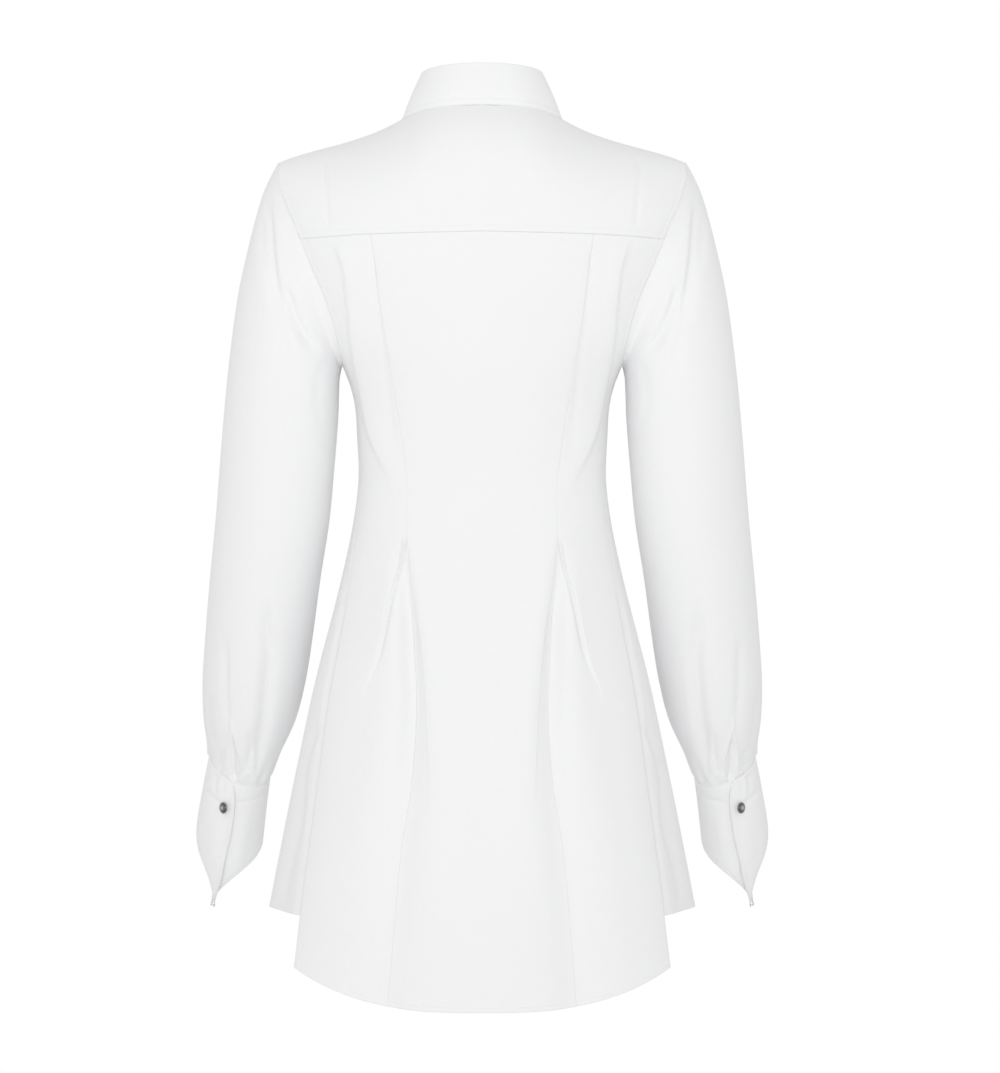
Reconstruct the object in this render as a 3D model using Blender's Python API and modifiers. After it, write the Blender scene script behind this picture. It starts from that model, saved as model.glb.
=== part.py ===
"""Shirt dress, filled out as if worn: a fitted bodice, a skirt with released pleats, full sleeves.

Metres, +Z up, the front faces -Y and the wearer's left is +X. The origin lies between the two
side neck points, where the shoulders carry the dress. Sizes below are in millimetres.
"""
import math
from collections import namedtuple

import bmesh
import bpy
from mathutils import Vector

MM = 0.001                # the tables are in millimetres, the model in metres
WALL = 1.5                # cloth wall
SEAM = 0.5                # space between two pieces that are sewn together
OVER = 0.5                # space under a piece that lies on another
FRONT_YOKE_SEAM = 1.3     # space at the yoke's front seam, which bends across the shoulder
ARM_SEAM = 1.5            # space at the armhole, where the walls lean towards each other
SQUARE = 2.2              # squareness of the body's sections (2 is an ellipse)
ROUND_BACK = 82           # height over which the back curves over to the shoulder line
ROUND_FRONT = 150         # and the front

NECK_HALF = 70            # half width of the neck opening at the shoulder line
NECK_BACK = 58            # how far the neck opening reaches back
NECK_FRONT = 70           # and forward
SHOULDER_TIP = -42        # level of the shoulder tip
UNDERARM = -237           # level of the underarm point
YOKE_TURN = 30            # degrees round the neck to the front end of the yoke
YOKE_FRONT_DROP = 16      # the yoke's front seam below the shoulder line at the armhole

APEX = -398               # level where the back pleat is released
HEM_FRONT = -764          # front hem at the middle
HEM_SIDE = -753           # front hem where the skirt is widest
HEM_SEAM = -761           # front hem at the side seam, where the tail starts
HEM_TAIL_CORNER = -810    # corner of the back tail
HEM_TAIL = -853           # back tail at the middle
TAIL_HALF = 177           # half width of the tail at its corner

BAND_HALF = 15            # half width of the button band
BUTTON_RADIUS = 5.5
BUTTON_SEAT = 0.35        # space under a button's shank
FRONT_ROWS = (16, 6)      # cells of a front below and above the underarm
BUTTON_EVERY = 3          # a button sits on every third row, counted from the neck

Section = namedtuple("Section", "level side back front")
TORSO = (
    Section(60, 217, 94, 90),
    Section(-42, 215, 96, 94),
    Section(-79, 207, 99, 100),
    Section(-108, 199, 101, 106),
    Section(-136, 187, 103, 112),
    Section(-168, 172, 103, 118),
    Section(-195, 158, 101, 122),
    Section(-213, 148, 100, 123),
    Section(-237, 133.5, 98, 122),
    Section(-269, 122.8, 92, 116),
    Section(-307, 119.6, 85, 104),
    Section(-345, 118.4, 81, 94),
    Section(-384, 123, 84, 96),
    Section(-422, 130.6, 91, 102),
    Section(-460, 139.7, 99, 109),
    Section(-537, 159.3, 115, 124),
    Section(-613, 175.1, 131, 137),
    Section(-690, 190.4, 145, 148),
    Section(-750, 202.2, 155, 155),
    Section(-860, 221, 166, 166),
)

Shoulder = namedtuple("Shoulder", "out back front")
SHOULDER = (              # the line where back and front meet; inside the neck, what they aim at
    Shoulder(0, 31, 9),
    Shoulder(35, 25.5, 8.5),
    Shoulder(55, 15.5, 7),
    Shoulder(70, 4.2, 4.2),
    Shoulder(76, 0.2, 0.2),
    Shoulder(99, -11.5, -11.5),
    Shoulder(124, -20.5, -20.5),
    Shoulder(149, -27.5, -27.5),
    Shoulder(171, -33.5, -33.5),
    Shoulder(188, -39.2, -39.2),
    Shoulder(195, -42, -42),
)

Armhole = namedtuple("Armhole", "level back front")
ARMHOLE = (
    Armhole(-42, 195, 195),
    Armhole(-55, 196, 189),
    Armhole(-79, 189.5, 178),
    Armhole(-102, 180, 167),
    Armhole(-136, 166.5, 152),
    Armhole(-168, 152.5, 141),
    Armhole(-195, 143.5, 135.5),
    Armhole(-213, 139, 134),
    Armhole(-230, 135, 133.6),
    Armhole(-237, 133.5, 133.5),
)

Line = namedtuple("Line", "level out")
BACK_SEAM = (             # shaping seam, then the bottom of the released pleat
    Line(-105, 107),
    Line(-183, 97.6),
    Line(-252, 86),
    Line(-348, 71.8),
    Line(-398, 72.7),
    Line(-479, 69),
    Line(-562, 65),
    Line(-640, 70),
    Line(-700, 79),
    Line(-850, 92),
)
SIDE_SEAM = (             # degrees that the side seam lies behind the side
    Line(-237, 0),
    Line(-345, 8),
    Line(-463, 23),
    Line(-591, 28),
    Line(-761, 34),
    Line(-853, 36),
)
BACK_YOKE = (             # level of the yoke's back seam, out from the middle
    Line(-108, 0),
    Line(-111, 110),
    Line(-113.5, 150),
    Line(-116, 180),
)

Fold = namedtuple("Fold", "turn top width low_width low_depth")
FOLDS = (                 # soft waves of the skirt: degrees round, and depth at the hem
    Fold(0, -520, 14, 26, 4),
    Fold(17, -600, 10, 16, -5),
    Fold(52, -560, 10, 15, 5),
    Fold(72, -500, 8, 13, -5),
    Fold(93, -470, 8, 14, 2),
    Fold(112, -500, 8, 13, -6),
    Fold(134, -440, 7, 12, -9),
    Fold(158, -540, 8, 14, 4),
)

Ring = namedtuple("Ring", "out_x out_z in_x in_z deep ahead drop")
SLEEVE = (                # outer and inner point, half depth, how far ahead, lag of the back
    Ring(197, -44, 134.3, -237.4, 60, 9, 0),
    Ring(206, -62, 134.8, -239.5, 60.5, 8, 0),
    Ring(213.5, -83, 135.4, -243, 61.5, 7, 1),
    Ring(223, -119, 136.5, -250, 63, 6, 2),
    Ring(234, -170, 137, -264, 63.5, 6, 3),
    Ring(243, -238, 138, -290, 63, 7, 4),
    Ring(249.5, -308, 141.5, -334, 61.5, 12, 6),
    Ring(255, -378, 146.5, -386, 60, 22, 8),
    Ring(261, -440, 155, -440, 59, 36, 11),
    Ring(265.5, -494, 162, -492, 58.5, 50, 13),
    Ring(268.3, -538, 169, -536, 57, 62, 14),
    Ring(267.5, -572, 178.5, -573, 52, 71, 14),
    Ring(264, -597, 193.5, -605, 42, 78, 14),
    Ring(262, -608.5, 203.5, -628, 34, 82, 14),
)
CUFF = (
    Ring(262, -609.5, 203.2, -629.5, 34, 82, 14),
    Ring(268.5, -642, 206.5, -655, 35, 91, 12),
    Ring(274.5, -680, 210.5, -692, 36, 101, 9),
    Ring(273, -715, 214, -726, 34, 109, 6),
    Ring(267.5, -752, 237, -758, 20, 116, 2),
)
CUFF_OPEN = (84, 62)      # degrees round the wrist of the opening, at the seam and at the tips
CUFF_OVER = 7             # degrees that the upper lap passes the opening
CUFF_UNDER = 9            # degrees that the under lap goes in beneath it
CUFF_ROWS = 6
CUFF_BUTTON_ROW = 2       # the button sits on this row, counted from the seam
CUFF_LIFT = 2.6           # the upper lap stands out over the under lap

CollarEdge = namedtuple("CollarEdge", "turn x y z")
COLLAR_EDGE = (           # lower edge of the fall, from centre back to the collar point
    CollarEdge(0, 0, 69, 16),
    CollarEdge(30, 41, 62, 13.5),
    CollarEdge(60, 67, 37, 7),
    CollarEdge(90, 76.5, 2, 0),
    CollarEdge(118, 76, -36, -18),
    CollarEdge(145, 66, -72, -48),
    CollarEdge(172, 44, -99, -84),
)
STAND_END = 191           # degrees round to the stand's ends, which overlap in front
STAND_LIFT_FROM = 170     # where the upper end starts to stand out
FALL_END = 169            # degrees round to the ends of the fall
FALL_SPACE = 1.0          # space between the stand and the fall over it
FALL_BOW = 1.2            # the fall bows out between fold and edge
COLLAR_CLEAR = 3.4        # the fall's outer face over the cloth below it
FOLD_HALF = 56            # half width of the ring where the collar folds over
FOLD_BACK = 50
FOLD_FRONT = 58
FOLD_LEVEL = 42           # level of the fold at the side
FOLD_RISE = 11            # up to the back
FOLD_DROP = 54            # down to the front


def smooth(rows, key, name, at):
    """Value of one column between the rows of a table, as a smooth curve."""
    keys = [getattr(row, key) for row in rows]
    values = [getattr(row, name) for row in rows]
    if keys[0] > keys[-1]:
        keys.reverse()
        values.reverse()
    at = min(max(at, keys[0]), keys[-1])
    i = max(k for k in range(len(keys) - 1) if keys[k] <= at)
    slopes = []
    for k in (i, i + 1):
        low, high = max(k - 1, 0), min(k + 1, len(keys) - 1)
        slopes.append((values[high] - values[low]) / (keys[high] - keys[low]))
    step = keys[i + 1] - keys[i]
    t = (at - keys[i]) / step
    return (values[i] * (1 + 2 * t) * (1 - t) ** 2 + values[i + 1] * t * t * (3 - 2 * t)
            + step * slopes[0] * t * (1 - t) ** 2 - step * slopes[1] * t * t * (1 - t))


def mix(a, b, t):
    """Value between a and b."""
    return a + (b - a) * t


def ease(t):
    """Smooth step from 0 to 1."""
    t = min(max(t, 0.0), 1.0)
    return t * t * (3 - 2 * t)


def power(base, exponent):
    """Power of a number that rounding may leave just below zero."""
    return max(base, 0.0) ** exponent


# ---- the body's form ------------------------------------------------------------------------

def reach_at(z, face):
    """Depth of a section; face is 1 for the back, -1 for the front."""
    return smooth(TORSO, "level", "back" if face > 0 else "front", z)


def crest(x, face):
    """Level of the shoulder line; inside the neck, of the line that the cloth there aims at."""
    return smooth(SHOULDER, "out", "back" if face > 0 else "front", abs(x))


def curve_height(face):
    """Height over which the cloth curves over to the shoulder line."""
    return ROUND_BACK if face > 0 else ROUND_FRONT


def neck_seam(x, face):
    """Depth and level of the neck seam at a distance from the middle."""
    y = (NECK_BACK if face > 0 else NECK_FRONT) * math.sqrt(max(0.0, 1 - (x / NECK_HALF) ** 2))
    z = crest(x, face)
    for _ in range(12):
        across = y / reach_at(z, face) / power(1 - (abs(x) / side_at(z)) ** SQUARE, 1 / SQUARE)
        z = crest(x, face) - curve_height(face) * (1 - math.sqrt(max(0.0, 1 - across ** 2)))
    return face * y, z


def side_at(z):
    """Half width of a section."""
    return smooth(TORSO, "level", "side", z)


def round_over(x, z, face):
    """How much of the full depth is left near the shoulder line."""
    rise = (crest(x, face) - z) / curve_height(face)
    return 1.0 if rise >= 1 else math.sqrt(max(0.0, 1 - (1 - rise) ** 2))


def turn_of(x, z):
    """Degrees from the middle of the back (or front) at which a section is x wide."""
    return math.degrees(math.asin(min(1.0, power(abs(x) / side_at(z), SQUARE / 2))))


def pleat(x, z, face):
    """Released pleat: a valley under the shaping seam with a soft ridge on each side."""
    opened = ease((APEX - z) / 110)
    if opened == 0:
        return 0.0
    away = abs(x) - smooth(BACK_SEAM, "level", "out", z)
    wide = mix(10, 30, ease((APEX - z) / 330))
    deep = (17 if face > 0 else 8) * opened * mix(1, 0.55, ease((-600 - z) / 250))
    valley = -deep * math.exp(-(away / (0.5 * wide)) ** 2)
    ridge = 0.45 * deep * math.exp(-((abs(away) - 1.3 * wide) / (0.8 * wide)) ** 2)
    return valley + ridge


def relief(turn, x, z):
    """How far the cloth lies outside its plain section."""
    face = 1 if abs(turn) < 90 else -1
    out = pleat(x, z, face)
    for fold in FOLDS:
        down = ease((fold.top - z) / 260)
        away = (abs(turn) - fold.turn) / mix(fold.width, fold.low_width, down)
        out += fold.low_depth * down * math.exp(-away * away)
    return out


def body(turn, z, out=0.0):
    """Point of the cloth, degrees round from the middle of the back, at a level, moved out."""
    if out:
        here = body(turn, z)
        around = body(turn + 0.5, z) - body(turn - 0.5, z)
        upward = body(turn, z + 0.5) - body(turn, z - 0.5)
        return here + upward.cross(around).normalized() * out
    side = side_at(z)
    face = 1 if abs(turn) <= 90 else -1
    reach = reach_at(z, face)
    s, c = math.sin(math.radians(turn)), math.cos(math.radians(turn))
    x = math.copysign(side * power(abs(s), 2 / SQUARE), s)
    flat_y = power(abs(c), 2 / SQUARE)
    y = face * reach * flat_y * round_over(x, z, face)
    normal = Vector((math.copysign(power(abs(x) / side, SQUARE - 1) / side, x),
                     face * power(flat_y, SQUARE - 1) / reach, 0)).normalized()
    return Vector((x, y, z)) + normal * relief(turn, x, z)


def clear_of_body(point, gap):
    """The point, moved out where it lies less than a gap above the body's cloth."""
    face = 1 if point.y >= 0 else -1
    height = curve_height(face)
    base = crest(point.x, face) - height
    wide = min(1.0, abs(point.x) / side_at(point.z))
    reach = reach_at(point.z, face) * power(1 - wide ** SQUARE, 1 / SQUARE) + gap
    up = max(0.0, point.z - base)
    inside = math.hypot(point.y / reach, up / (height + gap))
    if inside >= 1:
        return point
    return Vector((point.x, point.y / inside, point.z + up / inside - up))


def armhole_turn(z, face):
    """Degrees round to the edge of the cloth: the armhole, and below it the side seam."""
    if z > UNDERARM:
        turn = turn_of(smooth(ARMHOLE, "level", "back" if face > 0 else "front", z), z)
        return turn if face > 0 else 180 - turn
    return 90 - smooth(SIDE_SEAM, "level", "out", z)


def back_seam_turn(z):
    """Degrees round to the back shaping seam."""
    return turn_of(smooth(BACK_SEAM, "level", "out", z), z)


def back_yoke_level(x):
    """Level of the yoke's back seam."""
    return smooth(BACK_YOKE, "out", "level", abs(x))


def back_top(turn, z):
    """Top edge of a back panel."""
    return back_yoke_level(body_x(turn, z))


def front_top(turn, z):
    """Top edge of a front: the neck seam, then the yoke's front seam."""
    inner = NECK_HALF * math.cos(math.radians(YOKE_TURN))
    x = abs(body_x(turn, z))
    if x <= inner:
        return neck_seam(x, -1)[1]
    start = crest(inner, -1) - neck_seam(inner, -1)[1]
    out = (x - inner) / (SHOULDER[-1].out - inner)
    return crest(x, -1) - mix(math.sqrt(start), math.sqrt(YOKE_FRONT_DROP), out) ** 2


def tail_hem(turn, z):
    """Curved hem of the back tail."""
    out = min(1.0, abs(body_x(turn, z)) / TAIL_HALF)
    return HEM_TAIL + (HEM_TAIL_CORNER - HEM_TAIL) * out ** 3


def front_hem(turn, z):
    """Front hem: highest where the skirt is widest, lower at the middle and the side seam."""
    turn = abs(turn)
    if turn > 90:
        return mix(HEM_SIDE, HEM_FRONT, ease((turn - 90) / 90))
    return mix(HEM_SEAM, HEM_SIDE, (turn - armhole_turn(HEM_SEAM, -1)) / SIDE_SEAM[-2].out)


FRONT_ENDS = (front_hem, UNDERARM, front_top)


# ---- making solids --------------------------------------------------------------------------

def finish(name, colour, roughness, metallic=0.0):
    """Material of a piece."""
    material = bpy.data.materials.new(name)
    material.use_nodes = True
    shader = material.node_tree.nodes["Principled BSDF"]
    shader.inputs["Base Color"].default_value = (*colour, 1)
    shader.inputs["Roughness"].default_value = roughness
    shader.inputs["Metallic"].default_value = metallic
    material.diffuse_color = (*colour, 1)
    return material


def sheet(name, columns, rows, place, material, core, drop_face=None, wall=WALL):
    """One cut piece: a grid bent onto the form, given its wall on the inner side.

    place(u, v) gives the point at 0..1 across and up; core(point) a point inside the form;
    drop_face(u, v) says which cells of the grid are cut away.
    """
    shape = bmesh.new()
    bmesh.ops.create_grid(shape, x_segments=columns, y_segments=rows, size=1)
    if drop_face:
        gone = [f for f in shape.faces
                if drop_face(*((c + 1) / 2 for c in f.calc_center_median()[:2]))]
        bmesh.ops.delete(shape, geom=gone, context="FACES")
    for vertex in shape.verts:
        vertex.co = Vector(place((vertex.co.x + 1) / 2, (vertex.co.y + 1) / 2)) * MM
    shape.normal_update()
    facing = sum(f.normal.dot(f.calc_center_median() - core(f.calc_center_median() / MM) * MM)
                 for f in shape.faces)
    if facing < 0:
        bmesh.ops.reverse_faces(shape, faces=shape.faces)
    mesh = bpy.data.meshes.new(name)
    shape.to_mesh(mesh)
    shape.free()
    return shell(name, mesh, material, wall)


def shell(name, mesh, material, wall):
    """Object of an open surface with its wall."""
    mesh.materials.append(material)
    mesh.shade_smooth()
    piece = bpy.data.objects.new(name, mesh)
    dress.objects.link(piece)
    thick = piece.modifiers.new("Wall", "SOLIDIFY")
    thick.thickness = wall * MM
    thick.offset = -1
    return piece


def body_core(point):
    """Middle of the body at a point's level, at its own distance from side to side."""
    return Vector((point.x * 0.3, 0, point.z - 60 if point.z > -60 else point.z))


def panel(name, first, last, ends, columns, rows, material, out=0.0, top_seam=SEAM / 2):
    """Body piece between two seams, given as degrees round at a level.

    ends are its edges and the levels between them, from the bottom up, with rows cells between
    one and the next, so that two neighbours have their rows at the same levels.
    """

    def level_on(edge, u):
        if not callable(edge):
            return edge
        z = UNDERARM
        for _ in range(12):
            z = edge(mix(first(z), last(z), u), z)
        return z

    def place(u, v):
        row = round(v * sum(rows))
        zone = 0
        while row > rows[zone]:
            row -= rows[zone]
            zone += 1
        low, high = level_on(ends[zone], u), level_on(ends[zone + 1], u)
        z = mix(low, high, row / rows[zone]) - (top_seam if v == 1 else 0)
        start, stop = first(z), last(z)
        trim = math.copysign(math.degrees(SEAM / 2 / 110), stop - start)
        return body(mix(start + trim, stop - trim, u), z, out)

    return sheet(name, columns, sum(rows), place, material, body_core)


def body_x(turn, z):
    """Distance from the middle at a number of degrees round."""
    s = math.sin(math.radians(turn))
    return math.copysign(side_at(z) * power(abs(s), 2 / SQUARE), s)


# ---- the pieces -----------------------------------------------------------------------------

def make_yoke(material):
    """Yoke over the back and both shoulders, cut out round the neck."""
    inner, outer, back_rows, front_rows = 5, 5, 6, 3
    half = inner + outer
    rows = back_rows + front_rows

    def column(k):
        """Share of the neck's half width, then share of the shoulder."""
        if k <= inner:
            return math.sin(math.radians(90 * k / inner)), 0.0
        return 1.0, (k - inner) / outer

    def place(u, v):
        k = round(u * 2 * half) - half
        side = -1 if k < 0 else 1
        neck, out = column(abs(k))
        row = round(v * rows)
        face = 1 if row <= back_rows else -1
        ahead = max(0, row - back_rows) / front_rows
        turn = math.radians(YOKE_TURN * ahead)
        neck_x = NECK_HALF * neck * math.cos(turn)
        x = neck_x
        for _ in range(12):
            level = crest(x, face)
            edge_z = neck_seam(neck_x, face)[1]
            at_neck = math.sqrt(max(0.0, crest(neck_x, face) - edge_z))
            if face > 0:
                low = math.sqrt(level - back_yoke_level(x) - SEAM / 2)
                high = at_neck if not out else 0.0
                fall = mix(low, high, row / back_rows)
            else:
                fall = mix(at_neck, math.sqrt(YOKE_FRONT_DROP) * ahead, out)
            z = level - fall ** 2
            arm = smooth(ARMHOLE, "level", "back" if face > 0 else "front", z) - SEAM
            x = neck_x + (arm - neck_x) * out if out else neck_x
        y = face * reach_at(z, face) * round_over(x, z, face)
        return side * x, y * power(1 - (x / side_at(z)) ** SQUARE, 1 / SQUARE), z

    def over_neck(u, v):
        return abs(u * 2 - 1) < inner / half and v > back_rows / rows

    return sheet("yoke", 2 * half, rows, place, material, body_core, over_neck)


def make_body(material):
    """Backs and fronts."""
    back_ends = (tail_hem, HEM_SEAM, UNDERARM, back_top)
    panel("back_centre", lambda z: -back_seam_turn(z), back_seam_turn,
          back_ends, 12, (3, 16, 6), material)
    for name, side in (("left", 1), ("right", -1)):
        panel("back_side_" + name,
              lambda z, s=side: s * back_seam_turn(z), lambda z, s=side: s * armhole_turn(z, 1),
              back_ends, 6, (3, 16, 6), material)
        panel("front_" + name,
              lambda z, s=side: s * 180, lambda z, s=side: s * armhole_turn(z, -1),
              FRONT_ENDS, 11, FRONT_ROWS, material, top_seam=FRONT_YOKE_SEAM)


def make_band(material):
    """Button band over the middle of the fronts."""

    def edge(side):
        return lambda z: 180 - side * turn_of(BAND_HALF, z)

    panel("button_band", edge(1), edge(-1), FRONT_ENDS, 2, FRONT_ROWS, material, WALL + OVER)


def neck_ring(turn):
    """Point of the neck seam, degrees round from the middle of the back."""
    face = 1 if abs(turn) <= 90 else -1
    x = NECK_HALF * math.sin(math.radians(turn))
    y, z = neck_seam(x, face)
    return Vector((x, y, z))


def fold_ring(turn, out=0.0):
    """Point of the ring where the collar folds over."""
    s, c = math.sin(math.radians(turn)), math.cos(math.radians(turn))
    reach = (FOLD_BACK if c >= 0 else FOLD_FRONT) + out
    z = FOLD_LEVEL + FOLD_RISE * c if c >= 0 else FOLD_LEVEL - FOLD_DROP * (1 - abs(s))
    return Vector(((FOLD_HALF + out) * s, reach * c, z))


def stand_point(turn, up, out=0.0):
    """Point of the collar stand; past 180 degrees its ends cross, the wearer's right on top."""
    low, high = neck_ring(turn), fold_ring(turn)
    lift = (WALL + OVER) * ease((-turn - STAND_LIFT_FROM) / (180 - STAND_LIFT_FROM))
    outward = Vector((high.x, high.y, 0)).normalized()
    point = low.lerp(high, up) + outward * (lift + out)
    return point - outward * (WALL + OVER) * (1 - up) + Vector((0, 0, 1 - up))


def make_collar(material):
    """Stand from the neck seam up, and the fall that turns over it."""

    def stand(u, v):
        return stand_point(mix(-STAND_END, STAND_END, u), v)

    def fall(u, v):
        turn = mix(-FALL_END, FALL_END, u)
        side = -1 if turn < 0 else 1
        share = abs(turn) / FALL_END * COLLAR_EDGE[-1].turn
        edge = Vector([smooth(COLLAR_EDGE, "turn", name, share) for name in "xyz"])
        edge.x *= side
        top = fold_ring(turn, WALL + FALL_SPACE) + Vector((0, 0, OVER))
        down = 1 - v
        point = top.lerp(edge, down)
        bow = FALL_BOW * math.sin(math.pi * down)
        point += Vector((edge.x, edge.y, 0)).normalized() * bow
        return clear_of_body(point, COLLAR_CLEAR)

    core = lambda point: Vector((0, -4, point.z))
    sheet("collar_stand", 28, 2, stand, material, core)
    sheet("collar", 24, 4, fall, material, core)


def ring_point(table, down, turn, out=0.0):
    """Point of a sleeve or cuff: share of the way down its rings, degrees round the arm.

    0 degrees is the outer side, 90 the back, 180 the inner side, 270 the front.
    """
    rows = [Rung(k / (len(table) - 1), *ring) for k, ring in enumerate(table)]
    ring = Ring(*(smooth(rows, "share", name, down) for name in Ring._fields))
    s, c = math.sin(math.radians(turn)), math.cos(math.radians(turn))
    outer, inner = Vector((ring.out_x, 0, ring.out_z)), Vector((ring.in_x, 0, ring.in_z))
    middle, arm = (outer + inner) / 2, (outer - inner) / 2
    arm *= 1 + out / arm.length
    return middle + arm * c + Vector((0, (ring.deep + out) * s - ring.ahead, -ring.drop * s))


Rung = namedtuple("Rung", ("share",) + Ring._fields)


def armhole_point(turn):
    """Point of the armhole seam, degrees round the arm as for the sleeve."""
    s, c = math.sin(math.radians(turn)), math.cos(math.radians(turn))
    z = mix(UNDERARM, SHOULDER_TIP, (1 + c) / 2)
    face = 1 if s >= 0 else -1
    x = smooth(ARMHOLE, "level", "back" if face > 0 else "front", z)
    wide = min(1.0, x / side_at(z))
    y = face * reach_at(z, face) * round_over(x, z, face)
    return Vector((x, y * power(1 - wide ** SQUARE, 1 / SQUARE), z))


def make_sleeve(name, side, material):
    """Sleeve from the armhole to the cuff, as one tube."""
    around, rows, top = 16, 16, 0.1

    def place(u, v):
        turn, down = 360 * u, 1 - v
        point = ring_point(SLEEVE, down, turn)
        if down < top:
            away = Vector((1.0, 0, 0.35)) * ARM_SEAM
            point = (armhole_point(turn) + away).lerp(point, ease(down / top))
        return side * point.x, point.y, point.z

    def core(point):
        along = min(1.0, max(0.0, -(point.z + 100) / 520))
        return Vector((side * mix(165, 233, along), -mix(8, 78, along), point.z - 20))

    piece = sheet(name, around, rows, place, material, core)
    join_tube(piece)


def join_tube(piece):
    """Close a sleeve's tube where its two edges meet under the arm."""
    shape = bmesh.new()
    shape.from_mesh(piece.data)
    bmesh.ops.remove_doubles(shape, verts=shape.verts, dist=0.00001)
    shape.to_mesh(piece.data)
    shape.free()


def cuff_point(across, down, out=0.0):
    """Point of a cuff: -1 under lap to 1 upper lap, 0 at the seam to 1 at the hem."""
    far = abs(across)
    length = 0.40 + 0.38 * far ** 1.6 + 0.22 * far ** 5
    down *= length
    passed = CUFF_OVER if across > 0 else CUFF_UNDER
    turn = mix(*CUFF_OPEN, down) - 180 + (180 + passed) * across
    lift = CUFF_LIFT * ease((across - 0.55) / 0.4)
    return ring_point(CUFF, down, turn, lift + out)


def make_cuff(name, side, material):
    """Deep pointed cuff, its upper lap over its under lap."""

    def place(u, v):
        point = cuff_point(2 * u - 1, 1 - v)
        return side * point.x, point.y, point.z

    def core(point):
        return Vector((side * 238, -95, point.z))

    sheet(name, 20, CUFF_ROWS, place, material, core)


def make_button(name, seat, facing, material):
    """Domed metal button on a short shank, turned about its own axis and set on the cloth."""
    profile = (
        (BUTTON_RADIUS * 0.05, 3.6), (BUTTON_RADIUS * 0.7, 3.0), (BUTTON_RADIUS, 1.9),
        (BUTTON_RADIUS * 0.94, 1.3), (1.6, 1.2), (1.6, 0.0),
    )
    shape = bmesh.new()
    points = [shape.verts.new((x * MM, 0, z * MM)) for x, z in profile]
    points.insert(0, shape.verts.new((0, 0, 3.6 * MM)))
    points.append(shape.verts.new((0, 0, 0)))
    edges = [shape.edges.new(pair) for pair in zip(points, points[1:])]
    bmesh.ops.spin(shape, geom=points + edges, cent=(0, 0, 0), axis=(0, 0, 1),
                   angle=math.tau, steps=12, use_merge=True)
    bmesh.ops.remove_doubles(shape, verts=shape.verts, dist=0.000001)
    bmesh.ops.recalc_face_normals(shape, faces=shape.faces)
    mesh = bpy.data.meshes.new(name)
    shape.to_mesh(mesh)
    shape.free()
    mesh.materials.append(material)
    mesh.shade_smooth()
    piece = bpy.data.objects.new(name, mesh)
    dress.objects.link(piece)
    piece.location = (Vector(seat) + facing * BUTTON_SEAT) * MM
    piece.rotation_euler = facing.to_track_quat("Z", "Y").to_euler()


def outward_of(here, across, up):
    """Direction that a patch of cloth faces, from three of its points; it faces back or front."""
    facing = (across - here).cross(up - here).normalized()
    return facing if facing.y * here.y > 0 else -facing


def make_buttons(material):
    """One button on each cuff, one on the stand, the rest down the band."""
    seat = stand_point(-180, 0.5)
    facing = outward_of(seat, stand_point(-176, 0.5), stand_point(-180, 0.6))
    make_button("collar_button", seat, facing, material)
    for name, side in (("left", 1), ("right", -1)):
        down = CUFF_BUTTON_ROW / CUFF_ROWS
        here, near, below = (cuff_point(0.9 - a, down + d) for a, d in ((0, 0), (0.04, 0), (0, 0.06)))
        facing = (near - here).cross(below - here).normalized()
        if facing.y < 0:
            facing.negate()
        mirror = Vector((side, 1, 1))
        make_button("cuff_button_" + name, here * mirror, facing * mirror, material)
    low, high = FRONT_ROWS
    for count, row in enumerate(range(1, sum(FRONT_ROWS), BUTTON_EVERY), 1):
        if row <= high:
            z = mix(front_top(180, 0), UNDERARM, row / high)
        else:
            z = mix(UNDERARM, HEM_FRONT, (row - high) / low)
        seat, above = body(180, z, WALL + OVER), body(180, z + 8, WALL + OVER)
        facing = (above - seat).cross(Vector((1, 0, 0))).normalized()
        if facing.y > 0:
            facing.negate()
        make_button(f"front_button_{count}", seat, facing, material)


def main():
    """Build every piece of the dress."""
    cotton = finish("cotton", (0.86, 0.86, 0.87), 0.85)
    crisp = finish("cotton_doubled", (0.84, 0.84, 0.85), 0.8)
    metal = finish("gunmetal", (0.10, 0.10, 0.11), 0.3, 1.0)
    make_yoke(cotton)
    make_body(cotton)
    make_band(crisp)
    make_collar(crisp)
    for name, side in (("left", 1), ("right", -1)):
        make_sleeve("sleeve_" + name, side, cotton)
        make_cuff("cuff_" + name, side, crisp)
    make_buttons(metal)


for stray in list(bpy.data.objects):
    bpy.data.objects.remove(stray)
dress = bpy.data.collections.new("shirt_dress")
bpy.context.scene.collection.children.link(dress)
main()
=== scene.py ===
"""White cotton shirt dress: cloth, seams, stitching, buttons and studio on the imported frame.

Sizes are in millimetres until a mesh is made. +Z is up, the front faces -Y and the wearer's left
is +X. The body's cloth is laid out by degrees round the wearer, from the middle of the back (0)
over the wearer's left (90) to the middle of the front (180), and by level.
"""

import logging
import math
from dataclasses import dataclass, field
from enum import Enum
from typing import Callable, Optional, Sequence, Union

import bmesh
import bpy
import numpy as np
from mathutils import Matrix, Vector


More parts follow.
